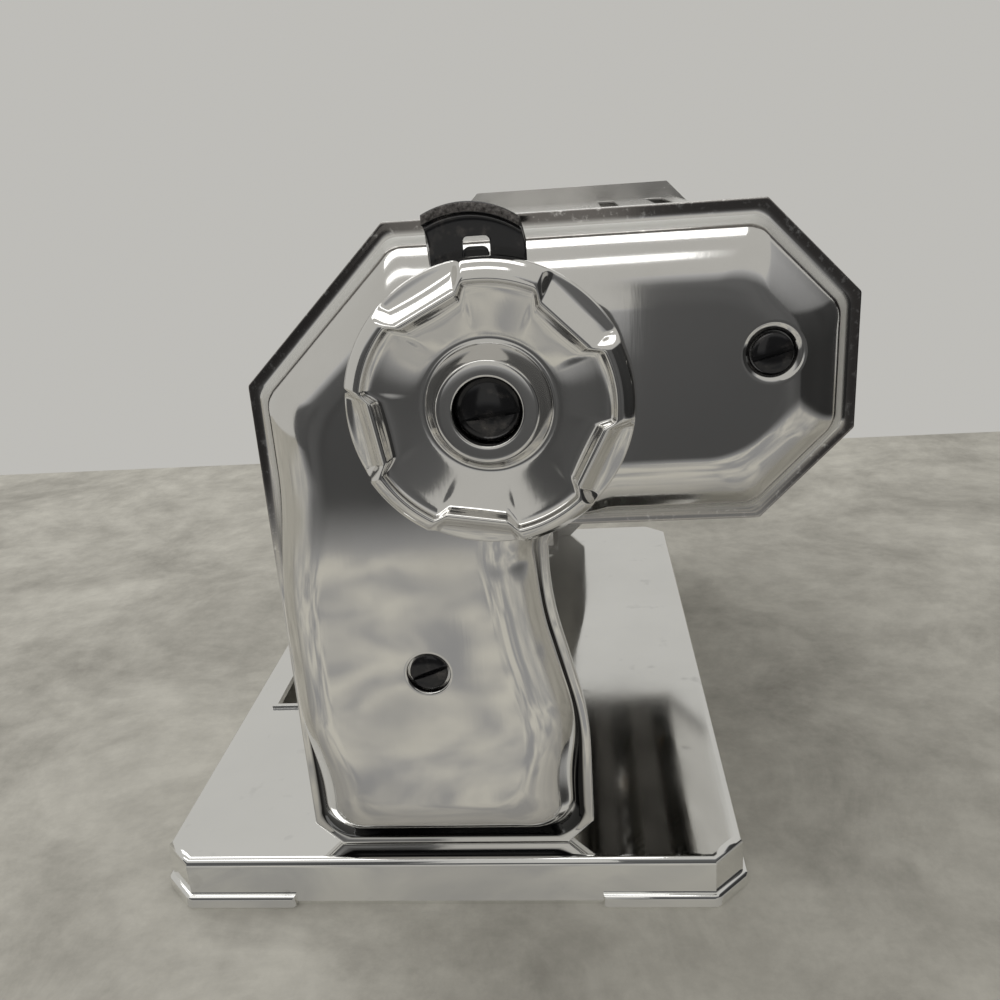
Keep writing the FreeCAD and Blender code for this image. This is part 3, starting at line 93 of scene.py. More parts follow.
# shader sockets with arithmetic, so that a material reads as its formula
class Socket:
    def __init__(self, shader, socket):
        self.shader, self.socket = shader, socket

    def math(self, operation, *others):
        return self.shader.node("ShaderNodeMath", {"operation": operation}, [self, *others])

    def __add__(self, other):
        return self.math("ADD", other)

    __radd__ = __add__

    def __mul__(self, other):
        return self.math("MULTIPLY", other)

    __rmul__ = __mul__

    def __sub__(self, other):
        return self.math("SUBTRACT", other)

    def __rsub__(self, other):
        return self.shader.node("ShaderNodeMath", {"operation": "SUBTRACT"}, [other, self])

    def clamp(self, low, high):
        return self.math("MAXIMUM", low).math("MINIMUM", high)

    def band(self, low, high):  # 0 under low, 1 over high
        return ((self - low) * (1 / (high - low))).clamp(0, 1)

    def between(self, edges):  # 1 between the two inner edges, 0 outside the outer ones
        return self.band(*edges[:2]) * (1 - self.band(*edges[2:]))


class Shader:
    inputNames = {
        "color": "Base Color", "metallic": "Metallic", "roughness": "Roughness",
        "normal": "Normal", "coat": "Coat Weight", "coatRoughness": "Coat Roughness",
        "glow": "Emission Color", "glowStrength": "Emission Strength",
    }

    def __init__(self, name):
        self.material = bpy.data.materials.new(name)
        self.material.use_nodes = True
        self.tree = self.material.node_tree
        self.tree.nodes.clear()
        self.surface = self.tree.nodes.new("ShaderNodeBsdfPrincipled")
        output = self.tree.nodes.new("ShaderNodeOutputMaterial")
        self.tree.links.new(self.surface.outputs[0], output.inputs["Surface"])
        self.place = Socket(self, self.tree.nodes.new("ShaderNodeTexCoord").outputs["Object"])

    def feed(self, socket, value):
        if isinstance(value, Socket):
            self.tree.links.new(value.socket, socket)
        else:
            socket.default_value = value

    def node(self, kind, settings=None, inputs=(), output=0):
        made = self.tree.nodes.new(kind)
        for key, value in (settings or {}).items():
            setattr(made, key, value)
        for key, value in inputs.items() if isinstance(inputs, dict) else enumerate(inputs):
            self.feed(made.inputs[key], value)
        return Socket(self, made.outputs[output])

    def along(self, axis):  # the place along one axis, in metres
        return self.node("ShaderNodeSeparateXYZ", inputs=[self.place], output="xyz".index(axis))

    def noise(self, scale, detail=3, roughness=0.5, distortion=0.0, stretch=None):
        place = self.place
        if stretch:
            place = self.node("ShaderNodeMapping", inputs={"Vector": place, "Scale": stretch})
        return self.node("ShaderNodeTexNoise", inputs={
            "Vector": place, "Scale": scale, "Detail": detail, "Roughness": roughness,
            "Distortion": distortion,
        })

    def mixColor(self, factor, first, second):
        inputs = {0: factor, 6: first, 7: second}
        return self.node("ShaderNodeMix", {"data_type": "RGBA"}, inputs, output=2)

    def bump(self, height, distance, normal=None):
        inputs = {"Height": height, "Distance": distance}
        if normal:
            inputs["Normal"] = normal
        return self.node("ShaderNodeBump", inputs=inputs)

    def set(self, **values):
        for key, value in values.items():
            self.feed(self.surface.inputs[self.inputNames[key]], value)
        return self.material


def rgb(red, green, blue):
    return (red, green, blue, 1)


def inMetres(values):
    return [value * mm for value in values]


# chrome: haze and upright smears dull it, and fine scratches run upwards
chromeHaze = {
    "haze": (38, 5, 0.62), "hazed": (0.45, 0.75), "smears": (12, 3, 0.5, 0.8, (1, 1, 0.35)),
    "smeared": (0.5, 0.8), "scratches": (900, 2, 0.7, 0, (1, 1, 0.06)), "scratchDepth": 0.000004,
}


def hazeOf(chrome):
    haze = chrome.noise(*chromeHaze["haze"]).band(*chromeHaze["hazed"])
    smears = chrome.noise(*chromeHaze["smears"]).band(*chromeHaze["smeared"])
    return (haze * 0.5 + smears * 0.5).clamp(0, 1)


def scratched(chrome, normal):
    scratches = chrome.noise(*chromeHaze["scratches"])
    return chrome.bump(scratches, chromeHaze["scratchDepth"], normal=normal)


def chromePlate():
    look = {
        "clean": rgb(0.80, 0.79, 0.77), "hazed": rgb(0.66, 0.65, 0.62), "mirror": 0.07,
        "haze": 0.10, "waves": (22, 1, 0.4), "waveDepth": 0.00022,
    }
    chrome = Shader("chromePlate")
    dull = hazeOf(chrome)
    waves = chrome.bump(chrome.noise(*look["waves"]), look["waveDepth"])
    return chrome.set(
        color=chrome.mixColor(dull * 0.6, look["clean"], look["hazed"]), metallic=1.0,
        roughness=look["mirror"] + dull * look["haze"], normal=scratched(chrome, waves),
    )


def coverChrome():  # as chromePlate, with waves in the sheet and an unpolished hollow round
    look = {  # depths are the distance from the middle plane, in mm, as heights are
        "clean": rgb(0.80, 0.79, 0.77), "hazed": rgb(0.64, 0.63, 0.60),
        # the dark worn colour on the head's flange is rubbed wear with a painted dark reflection
        "satin": rgb(0.74, 0.735, 0.71), "worn": rgb(0.24, 0.225, 0.215),
        # the groove's near-black colour is painted shade round the dome's foot
        "grooveShade": rgb(0.03, 0.03, 0.03), "mirror": 0.03, "haze": 0.09, "satinRough": 0.42,
        "satinMetal": 0.35, "rubRough": 0.1, "domeRough": 0.07, "flange": (100.02, 100.25),
        "hollow": (100.25, 100.6, 102.15, 102.6), "groove": (100.0, 100.15, 101.5, 102.4),
        "footGroove": (102.5, 104.5), "dome": (102.5, 104.5, 110.5, 111.9), "head": (78, 105),
        "foot": (19, 23), "waves": (16, 1, 0.4, 0.3), "waveDepth": 0.0007,
        "ripples": (70, 2, 0.5, 0, (1, 1, 0.5)), "rippleDepth": 0.00005,
        "flangeSpeckles": (500, 4, 0.7), "flangeWearAndPaintedDark": (0.3, 0.45),
    }
    chrome = Shader("coverChrome")
    dull = hazeOf(chrome)
    depth, height = chrome.along("y").math("ABSOLUTE"), chrome.along("z")
    head = height.band(*inMetres(look["head"]))
    satin = depth.between(inMetres(look["hollow"])) * head
    # the head's flange: rubbed wear, and a painted dark reflection laid on it as speckled worn
    # colour
    flangeWearAndPaintedDark = (1 - depth.band(*inMetres(look["flange"]))) * head
    groove = depth.between(inMetres(look["groove"])) * (1 - head)
    foot = 1 - height.band(*inMetres(look["foot"]))
    underDome = 1 - depth.band(*inMetres(look["footGroove"]))
    overFlange = depth.band(*inMetres(look["groove"][:2]))
    groove = (groove + overFlange * underDome * foot).clamp(0, 1)
    low, high = inMetres(look["dome"][:2]), inMetres(look["dome"][2:])
    dome = depth.band(*low) * (1 - depth.band(*high) * 0.5)
    waves = chrome.bump(chrome.noise(*look["waves"]), look["waveDepth"])
    ripples = chrome.bump(chrome.noise(*look["ripples"]), look["rippleDepth"], normal=waves)
    color = chrome.mixColor(dull * 0.6, look["clean"], look["hazed"])
    # worn here is partly rubbed wear and partly a painted dark reflection
    worn = flangeWearAndPaintedDark * chrome.noise(*look["flangeSpeckles"]).band(*look["flangeWearAndPaintedDark"])
    color = chrome.mixColor(worn, color, look["worn"])
    # painted shade: the groove between flange and dome, and the band at the foot, turn near-black
    color = chrome.mixColor(groove, color, look["grooveShade"])
    rough = look["mirror"] + dull * look["haze"] + satin * look["satinRough"]
    return chrome.set(
        color=chrome.mixColor(satin, color, look["satin"]),
        metallic=1 - satin * (1 - look["satinMetal"]),
        roughness=rough + flangeWearAndPaintedDark * look["rubRough"] + dome * look["domeRough"],
        normal=scratched(chrome, ripples),
    )


def basePlate():
    look = {
        "clean": rgb(0.93, 0.93, 0.915), "hazed": rgb(0.78, 0.78, 0.77), "mirror": 0.05,
        "haze": 0.12, "spots": 0.08, "scratchDepth": 0.000003,
    }
    plate = Shader("basePlate")
    haze = plate.noise(16, 4, 0.6).band(0.4, 0.8)
    spots = plate.noise(140, 2, 0.5).band(0.68, 0.76)
    scratches = plate.noise(700, 2, 0.7, 0, (1, 0.08, 1))
    dull = (haze * 0.5 + spots * 0.5).clamp(0, 1)
    return plate.set(
        color=plate.mixColor(dull, look["clean"], look["hazed"]), metallic=1.0,
        roughness=look["mirror"] + haze * look["haze"] + spots * look["spots"],
        normal=plate.bump(scratches, look["scratchDepth"]),
    )


# plain metals: two tones mixed by stains, and a grain that is also their bump; grain and stains
# are noises, and roughness is the smoothest and what the stains and the grain add
metals = {
    "platedSheet": {
        "bright": rgb(0.80, 0.79, 0.77), "dark": rgb(0.58, 0.57, 0.55), "metallic": 0.92,
        "grain": (500, 3, 0.6, 0, (1, 0.05, 1)), "stains": (30, 4, 0.6), "stained": (0.45, 0.8),
        "roughness": (0.17, 0.12, 0.08), "grainDepth": 0.000006,
    },
    "oxideAndPaintedShadeSheet": {  # the sheet under the head, darkened partly as oxide and partly as painted shade
        "bright": rgb(0.13, 0.125, 0.12), "dark": rgb(0.06, 0.058, 0.055), "metallic": 1.0,
        "grain": (460, 3, 0.6, 0, (1, 0.05, 1)), "stains": (40, 4, 0.6), "stained": (0.4, 0.75),
        "roughness": (0.38, 0.12, 0.1), "grainDepth": 0.00001,
    },
    "brightSteel": {
        "bright": rgb(0.60, 0.59, 0.57), "dark": rgb(0.42, 0.41, 0.39), "metallic": 1.0,
        "grain": (420, 3, 0.65), "stains": (55, 4, 0.6), "stained": (0.45, 0.8),
        "roughness": (0.24, 0, 0.14), "grainDepth": 0.000008,
    },
    "rollerNickel": {
        "bright": rgb(0.70, 0.68, 0.63), "dark": rgb(0.52, 0.50, 0.45), "metallic": 1.0,
        "grain": (260, 3, 0.6, 0, (0.4, 6, 0.4)), "stains": (26, 4, 0.55), "stained": (0.5, 0.85),
        "roughness": (0.12, 0.10, 0.05), "grainDepth": 0.000004,
    },
    "oiledBronze": {
        "bright": rgb(0.62, 0.42, 0.20), "dark": rgb(0.34, 0.22, 0.11), "metallic": 1.0,
        "grain": (800, 3, 0.6), "stains": (60, 3, 0.6), "stained": (0.4, 0.7),
        "roughness": (0.28, 0, 0.12), "grainDepth": 0.00001,
    },
}


def metalFinish(name):
    look, metal = metals[name], Shader(name)
    grain = metal.noise(*look["grain"])
    stains = metal.noise(*look["stains"]).band(*look["stained"])
    smoothest, stainRough, grainRough = look["roughness"]
    return metal.set(
        color=metal.mixColor(stains, look["bright"], look["dark"]), metallic=look["metallic"],
        roughness=smoothest + stains * stainRough + grain * grainRough,
        normal=metal.bump(grain, look["grainDepth"]),
    )


def burnishedSteel():
    look = {
        "deep": rgb(0.018, 0.018, 0.020), "worn": rgb(0.11, 0.10, 0.095),
        "torn": rgb(0.05, 0.046, 0.044), "bright": rgb(0.34, 0.32, 0.31), "bumps": 0.000008,
        "shearedEdge": (114.38, 114.43, 114.7, 114.9),  # depths of the index plate's cut lip, in mm
    }
    dark = Shader("burnishedSteel")
    wear = dark.noise(240, 4, 0.65).band(0.52, 0.78)
    pits = dark.noise(1100, 2, 0.6)
    sheared = dark.along("y").math("ABSOLUTE").between(inMetres(look["shearedEdge"]))
    torn = dark.noise(1500, 4, 0.75)
    color = dark.mixColor(wear, look["deep"], look["worn"])
    rough = dark.mixColor(torn.band(0.35, 0.7), look["torn"], look["bright"])
    return dark.set(
        color=dark.mixColor(sheared, color, rough), metallic=0.55 + sheared * 0.3,
        roughness=0.16 + wear * 0.2 + sheared * 0.3, coat=0.35 - sheared * 0.3, coatRoughness=0.1,
        normal=dark.bump(pits * (1 - sheared) + torn * sheared * 12, look["bumps"]),
    )


def varnishedBeech():
    look = {
        "pale": rgb(0.42, 0.20, 0.085), "dark": rgb(0.20, 0.085, 0.033), "rings": 60, "flecks": 900,
        "fleckDepth": 0.00002,
    }
    wood = Shader("varnishedBeech")
    rings = wood.noise(look["rings"], 4, 0.6, 1.2, (1, 0.10, 1))
    flecks = wood.noise(look["flecks"], 2, 0.6, 0, (1, 0.12, 1)).band(0.6, 0.75)
    grain = (rings.band(0.35, 0.7) * 0.8 + flecks * 0.35).clamp(0, 1)
    return wood.set(
        color=wood.mixColor(grain, look["pale"], look["dark"]), roughness=0.32 + rings * 0.1,
        coat=0.6, coatRoughness=0.12, normal=wood.bump(flecks, look["fleckDepth"]),
    )


finishes = {
    "chrome_plate": chromePlate(), "cover_chrome": coverChrome(), "base_top": basePlate(),
    "plated_sheet": metalFinish("platedSheet"), "oxide_and_painted_shade_sheet": metalFinish("oxideAndPaintedShadeSheet"),
    "bright_steel": metalFinish("brightSteel"), "roller_nickel": metalFinish("rollerNickel"),
    "bronze": metalFinish("oiledBronze"), "burnished_steel": burnishedSteel(),
    "handle_wood": varnishedBeech(),
}
finishOf = {  # nodes whose look differs from the rest of their slot
    # the parts under the head get a near-black sheet that is partly oxide and partly painted shade
    "base_plate": "base_top", "bottom_guard": "oxide_and_painted_shade_sheet", "wide_idler_comb": "oxide_and_painted_shade_sheet",
    "wide_drive_comb": "oxide_and_painted_shade_sheet", "narrow_idler_comb": "oxide_and_painted_shade_sheet",
    "narrow_drive_comb": "oxide_and_painted_shade_sheet", "fixed_scraper": "oxide_and_painted_shade_sheet",
    "movable_scraper": "oxide_and_painted_shade_sheet",
}
for name, thing in nodes.items():
    thing.data.materials.clear()
    thing.data.materials.append(finishes[finishOf.get(name, slotOf[name])])
print("finishes made:", len(finishes))


# the studio: a pale floor and wall, two soft overhead lamps, and cards that only the chrome sees
studio = {
    "floorX": (-620, 620), "floorY": (-800, 270), "wall": rgb(0.515, 0.507, 0.482),
    "lampHeight": 900,
    "lamps": {
        "backLamp": {"x": (-900, 250), "y": (140, 520), "power": 2.3},
        "frontLamp": {"x": (-900, 150), "y": (-450, -272), "power": 1.0},
    },
    "cards": {  # two lower corners, height, glow at the floor and at the top
        "leftCard": ((-420, -335), (-48, -335), 260, (0.06, 0.10)),
        "middleCard": ((-48, -335), (61, -335), 112, (0.06, 0.09)),
        "rightCard": ((61, -335), (300, -335), 330, (0.06, 0.11)),
        "sideCard": ((300, -335), (300, 70), 300, (0.012, 0.045)),
    },
    "cardFoot": {"height": 30, "glow": 0.26}, "cardHead": {"share": 0.75, "glow": 0.38},
    "floorCard": {
        "x": (-420, 300), "y": (-335, -106.8), "z": 0.3, "pale": rgb(0.56, 0.54, 0.48),
        # near is a painted shadow on the floor just in front of the base
        "shade": rgb(0.29, 0.29, 0.29), "near": rgb(0.27, 0.26, 0.235), "paintedShadowEdge": (-170, -110),
    },
}


def paleFloor():
    look = {
        "pale": rgb(0.64, 0.62, 0.56), "shade": rgb(0.34, 0.325, 0.29), "grainDepth": 0.0001,
    }
    floor = Shader("paleFloor")
    clouds = floor.noise(15, 8, 0.70, 0.5).band(0.36, 0.66)
    specks = floor.noise(70, 5, 0.7).band(0.38, 0.62)
    return floor.set(
        color=floor.mixColor(clouds * 0.7 + specks * 0.3, look["pale"], look["shade"]),
        roughness=0.75, normal=floor.bump(floor.noise(300, 3, 0.6), look["grainDepth"]),
    )


def glowing(card, glow):
    return card.set(color=rgb(0, 0, 0), roughness=1.0, glow=glow, glowStrength=1.0)


def cardFinish(name, glow, top):  # brightest at its foot and head, with soft unevenness
    card = Shader(name)
    height = card.along("z")
    cloud = card.noise(7, 2, 0.5, 0.6, (1, 1, 0.5))
    shine = (height.band(0, top * mm) * (glow[1] - glow[0]) + glow[0]) * (cloud * 1.4 + 0.3)
    foot, head = studio["cardFoot"], studio["cardHead"]
    shine = shine + (1 - height.band(0, foot["height"] * mm)) * foot["glow"]
    shine = shine + height.band(top * head["share"] * mm, top * mm) * head["glow"]
    return glowing(card, shine)


def mottledFinish():  # the floor in front, as the column mirrors it, with a painted shadow near the base's front
    card = Shader("mottledFloor")
    look = studio["floorCard"]
    near = card.along("y").band(*inMetres(look["paintedShadowEdge"]))
    cloud = card.noise(24, 4, 0.55, 1.1).band(0.40, 0.62)
    mottled = card.mixColor(cloud, look["pale"], look["shade"])
    return glowing(card, card.mixColor(near * 0.8, mottled, look["near"]))


def flatSheet(name, corners, material):
    bpy.ops.object.select_all(action="DESELECT")
    bpy.ops.mesh.primitive_plane_add(size=1)
    sheet = bpy.context.object
    sheet.name = name
    for vertex, corner in zip(sheet.data.vertices, corners):
        vertex.co = Vector(corner) * mm
    sheet.data.materials.append(material)
    return sheet


def levelSheet(name, x, y, z, material):
    corners = [(x[0], y[0], z), (x[1], y[0], z), (x[0], y[1], z), (x[1], y[1], z)]
    return flatSheet(name, corners, material)


def onlyReflected(thing):
    thing.visible_camera = thing.visible_diffuse = thing.visible_transmission = False
    thing.visible_shadow = thing.visible_volume_scatter = False


def addCards():
    for name, (first, last, top, glow) in studio["cards"].items():
        corners = [(*first, 0), (*last, 0), (*first, top), (*last, top)]
        onlyReflected(flatSheet(name, corners, cardFinish(name + "Finish", glow, top)))
    c = studio["floorCard"]
    onlyReflected(levelSheet("floorCard", c["x"], c["y"], c["z"], mottledFinish()))


def addLamp(name, spread):
    (left, right), (near, far) = spread["x"], spread["y"]
    middle = Vector(((left + right) / 2, (near + far) / 2, studio["lampHeight"])) * mm
    bpy.ops.object.light_add(type="AREA", location=middle)
    lamp = bpy.context.object
    lamp.name = name
    lamp.data.shape, lamp.data.energy = "RECTANGLE", spread["power"]
    lamp.data.size, lamp.data.size_y = (right - left) * mm, (far - near) * mm
    lamp.visible_camera = False


def setWorld():
    world = bpy.data.worlds.new("studio")
    scene.world = world
    world.use_nodes = True
    background = world.node_tree.nodes["Background"]
    background.inputs["Color"].default_value = studio["wall"]
    background.inputs["Strength"].default_value = 1.0


levelSheet("floor", studio["floorX"], studio["floorY"], 0, paleFloor())
addCards()
setWorld()
for name, spread in studio["lamps"].items():
    addLamp(name, spread)
print("studio set")


# helpers: each piece is the only one selected while it is worked on
aligned = 0.9  # a unit vector's share along an axis from which it counts as running along it


def choose(piece):
    bpy.ops.object.select_all(action="DESELECT")
    piece.select_set(True)
    bpy.context.view_layer.objects.active = piece


def onWholeMesh(piece, *steps):
    choose(piece)
    bpy.ops.object.mode_set(mode="EDIT")
    bpy.ops.mesh.select_all(action="SELECT")
    for operator, settings in steps:
        operator(**settings)
    bpy.ops.object.mode_set(mode="OBJECT")


def emptyPiece(name, mesh):
    piece = bpy.data.objects.new(name, mesh)
    scene.collection.objects.link(piece)
    return piece


def outwards(piece):
    onWholeMesh(piece, (bpy.ops.mesh.normals_make_consistent, {"inside": False}))


def faceTowards(piece, side):  # an open dish is turned so that it looks outwards along Y
    if sum(face.normal.y * face.area for face in piece.data.polygons) * side < 0:
        onWholeMesh(piece, (bpy.ops.mesh.flip_normals, {}))


def closeEnds(piece):
    choose(piece)
    bpy.ops.object.mode_set(mode="EDIT")
    bpy.ops.mesh.select_all(action="DESELECT")
    bpy.ops.mesh.select_non_manifold()
    bpy.ops.mesh.edge_face_add()
    bpy.ops.object.mode_set(mode="OBJECT")
    outwards(piece)


def smooth(piece, angle):
    choose(piece)
    bpy.ops.object.shade_smooth_by_angle(angle=math.radians(angle))


def applied(piece, kind, **settings):
    bpy.context.view_layer.objects.active = piece
    modifier = piece.modifiers.new(kind.title(), kind)
    for key, value in settings.items():
        setattr(modifier, key, value)
    bpy.ops.object.modifier_apply(modifier=modifier.name)


def softenEdges(piece, width, angle=40):
    limit = {"limit_method": "ANGLE", "angle_limit": math.radians(angle)}
    applied(piece, "BEVEL", width=width * mm, segments=2, **limit)


def bevelEdges(piece, width, segments, wanted):  # wanted takes an edge's middle and direction
    choose(piece)
    bpy.ops.object.mode_set(mode="EDIT")
    bpy.ops.mesh.select_mode(type="EDGE")
    bpy.ops.mesh.select_all(action="DESELECT")
    mesh = bmesh.from_edit_mesh(piece.data)
    for edge in mesh.edges:
        first, last = edge.verts[0].co / mm, edge.verts[1].co / mm
        edge.select_set(bool(wanted((first + last) / 2, (last - first).normalized())))
    bpy.ops.mesh.bevel(offset=width * mm, segments=segments)
    bpy.ops.mesh.select_mode(type="VERT")
    bpy.ops.object.mode_set(mode="OBJECT")


def cutWith(piece, cutter):
    applied(piece, "BOOLEAN", object=cutter, operation="DIFFERENCE", solver="EXACT")
    bpy.data.objects.remove(cutter)


def cubeAt(size, centre, turned=0):  # in metres, and turned about Y by degrees
    bpy.ops.object.select_all(action="DESELECT")
    bpy.ops.mesh.primitive_cube_add(size=1)
    bpy.ops.object.mode_set(mode="EDIT")
    bpy.ops.transform.resize(value=size)
    if turned:
        turn = math.radians(turned)
        bpy.ops.transform.rotate(value=turn, orient_axis="Y", center_override=(0, 0, 0))
    bpy.ops.transform.translate(value=centre)
    bpy.ops.object.mode_set(mode="OBJECT")
    return bpy.context.object


def joined(pieces):
    bpy.ops.object.select_all(action="DESELECT")
    for piece in pieces:
        piece.select_set(True)
    bpy.context.view_layer.objects.active = pieces[0]
    bpy.ops.object.join()
    return pieces[0]


def placeRing(mesh, ring, order):
    for vertex in mesh.verts:
        if vertex.select:
            vertex.co = Vector(ring[vertex[order]]) * mm


def loft(name, rings, cap=True):  # rings are closed rows of points with the same count, in mm
    bpy.ops.object.select_all(action="DESELECT")
    bpy.ops.mesh.primitive_circle_add(vertices=len(rings[0]), radius=0.01)
    piece = bpy.context.object
    piece.name = piece.data.name = name
    bpy.ops.object.mode_set(mode="EDIT")
    bpy.ops.mesh.select_all(action="SELECT")
    mesh = bmesh.from_edit_mesh(piece.data)
    order = mesh.verts.layers.int.new("order")
    mesh.verts.ensure_lookup_table()
    for index, vertex in enumerate(mesh.verts):
        vertex[order] = index
    placeRing(mesh, rings[0], order)
    for ring in rings[1:]:
        bpy.ops.mesh.extrude_edges_move()
        placeRing(mesh, ring, order)
    if cap:
        bpy.ops.mesh.edge_face_add()
    bmesh.update_edit_mesh(piece.data)
    bpy.ops.object.mode_set(mode="OBJECT")
    return piece


def circleRing(centre, radius, y, count=64):
    x, z = centre
    ring = []
    for step in range(count):
        turn = math.tau * step / count
        ring.append((x + radius * math.sin(turn), y, z + radius * math.cos(turn)))
    return ring


def blended(low, high, share):
    return low + (high - low) * share


def ease(value, low, high):
    share = min(1, max(0, (value - low) / (high - low)))
    return share * share * (3 - 2 * share)


def standFor(piece, node, finish):
    piece.data.materials.clear()
    piece.data.materials.append(finishes[finish])
    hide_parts(node)


def finishPiece(piece, node, finish):
    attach(piece, bodyOf[node])
    standFor(piece, node, finish)


# the end covers: one pressed shell at each end, with a flat flange and a deep round into its face
endCover = {
    "outline": [
        (-31.3, 12.6), (35, 12.6), (35, 46), (27.7, 76), (27.7, 92.4), (71.2, 92.4), (89, 110.6),
        (89, 137), (71.4, 155), (-0.7, 155), (-31.3, 125),
    ],
    "rim": [(0, 0.05), (0, 0.6), (0.06, 0.74), (0.2, 0.8)],  # inset over the margin, and depth
    "footCut": 5.8, "footBlend": (1.0, 1.6), "margin": 0.12, "flangeFront": 0.8,
    "flangeInside": 1.3, "hollowRound": 3.1, "hollowSteps": 12, "domeRound": 13.4, "domeSteps": 21,
    "steepest": 72, "depth": 12.8, "framePlane": 99.2, "sheet": 0.8, "faceRings": (0.5, 1.2),
    "cornerPoints": 18, "sideGap": 2.6, "sharedSide": 0.96, "footRounds": (7.5, 6),
    "bends": {2: -60, 3: 60, 4: 5}, "corners": (0.9, 2.8, 16),
    "columnHollow": 0.8, "columnDome": 9.5, "columnLean": 0.03,
    "headFrom": {"z": (76, 108), "underX": (29, 42), "underZ": (80, 90), "footZ": (56, 26)},
    "footLift": {"rise": 3.2, "depth": (0.8, 4.0), "z": (64, 18)},  # the dome clears its flange
}
holeShape = {
    "sides": 64, "overlap": 0.3, "drillDepth": 6,
    "plain": [(0.35, 0), (0.1, 0.1), (0, 0.35), (0, 0.8)],  # radius over the hole's, and depth
    "sink": [(4.95, 0), (4.75, 0.04), (4.58, 0.2), (4.5, 0.5), (4.45, 1.2), (4.4, 1.8), (2.2, 1.8)],
    "dimple": [
        (5.75, 0), (5.55, 0.02), (5.3, 0.1), (5.0, 0.25), (4.7, 0.44), (4.4, 0.65), (4.15, 0.86),
        (4.02, 1.05), (3.97, 1.35), (3.95, 1.8), (2.2, 1.8),
    ],
}


def neighbours(points, index):
    return points[index - 1], points[(index + 1) % len(points)]


def insetOutline(points, distance):
    moved = []
    for index, here in enumerate(points):
        before, after = neighbours(points, index)
        sides = []
        for start, end in ((before, here), (here, after)):
            along = (Vector(end) - Vector(start)).normalized()
            sides.append(Vector((-along.y, along.x)))
        reach = distance / (1 + sides[0].dot(sides[1]))
        moved.append(Vector(here) + (sides[0] + sides[1]) * reach)
    return moved


def halfAngle(back, ahead):
    return math.acos(max(-1, min(1, back.dot(ahead)))) / 2


def roundCorner(before, here, after, reach, count):
    back, ahead = (before - here).normalized(), (after - here).normalized()
    start, end = here + back * reach, here + ahead * reach
    centre = here + (back + ahead).normalized() * (reach / math.cos(halfAngle(back, ahead)))
    first, last = start - centre, end - centre
    sweep = first.angle_signed(last)
    turns = [Matrix.Rotation(-sweep * step / (count - 1), 2) for step in range(count)]
    return [centre + turn @ first for turn in turns]


def sharedReaches(points, radii):  # two arcs on one side never take more than the side
    wanted = []
    for index, here in enumerate(points):
        back, ahead = [(other - here).normalized() for other in neighbours(points, index)]
        wanted.append(radii[index] / math.tan(halfAngle(back, ahead)))
    reaches = []
    for index, here in enumerate(points):
        share = 1
        for other in (index - 1, (index + 1) % len(points)):
            room = endCover["sharedSide"] * (points[other] - here).length
            share = min(share, room / (wanted[index] + wanted[other]))
        reaches.append(wanted[index] * share)
    return reaches


def coverProfile():  # rows of inset and depth, from the rim to the face
    c = endCover
    rows = [(c["margin"] + inset, depth) for inset, depth in c["rim"]]
    flat = rows[-1][0]
    rows += [(blended(flat, c["flangeInside"], share), c["flangeFront"]) for share in (0.3, 0.8, 1)]
    steep, hollow, dome = math.radians(c["steepest"]), c["hollowRound"], c["domeRound"]
    for step in range(1, c["hollowSteps"] + 1):
        lean = steep * step / c["hollowSteps"]
        inset = c["flangeInside"] + hollow * math.sin(lean)
        rows.append((inset, c["flangeFront"] + hollow * (1 - math.cos(lean))))
    rise = c["depth"] - dome * (1 - math.cos(steep)) - rows[-1][1]
    faceInset = rows[-1][0] + rise / math.tan(steep) + dome * math.sin(steep)
    for step in range(c["domeSteps"] + 1):
        lean = steep * (1 - step / c["domeSteps"])
        rows.append((faceInset - dome * math.sin(lean), c["depth"] - dome * (1 - math.cos(lean))))
    return rows


def columnInset(distance, depth):  # the column's sides are steeper and rounder than the head's
    c = endCover
    lift = depth - c["flangeFront"]
    if distance <= c["flangeInside"] or lift <= 0:
        return distance
    hollow, dome = c["columnHollow"], c["columnDome"]
    inset = c["flangeInside"] + math.sqrt(max(0, hollow ** 2 - max(0, hollow - lift) ** 2))
    inset += max(0, lift - hollow) * c["columnLean"]
    rise = min(dome, max(0, depth - c["depth"] + dome))
    return inset + (dome - math.sqrt(dome ** 2 - rise ** 2))


def headShare(point):  # 1 in the head, 0 in the column
    near = endCover["headFrom"]
    under = ease(point.x, *near["underX"]) * ease(point.y, *near["underZ"])
    return max(ease(point.y, *near["z"]), ease(point.y, *near["footZ"]), under)


def coverRadius(index, distance, share):
    c = endCover
    if index in (0, 1):
        return blended(*c["footRounds"], share)
    if index in c["bends"]:
        bend = c["bends"][index]
        return abs(bend) + (distance if bend > 0 else -distance)
    low, middle, high = c["corners"]
    if distance <= c["flangeInside"]:
        over = (distance - c["margin"]) / (c["flangeInside"] - c["margin"])
        return blended(low, middle, over)
    return blended(middle, high, share)


def coverCorner(inner, index, reach, distance):
    c, here = endCover, inner[index]
    before, after = neighbours(inner, index)
    corner = roundCorner(before, here, after, reach, c["cornerPoints"])
    if index not in (0, 1):
        return corner
    first = here + (before - here).normalized() * c["footCut"]  # the flange's feet are cut straight
    last = here + (after - here).normalized() * c["footCut"]
    flat = [first.lerp(last, step / (c["cornerPoints"] - 1)) for step in range(c["cornerPoints"])]
    start, width = c["footBlend"]
    share = min(1, max(0, (distance - start) / width))
    return [a.lerp(b, share) for a, b in zip(flat, corner)]


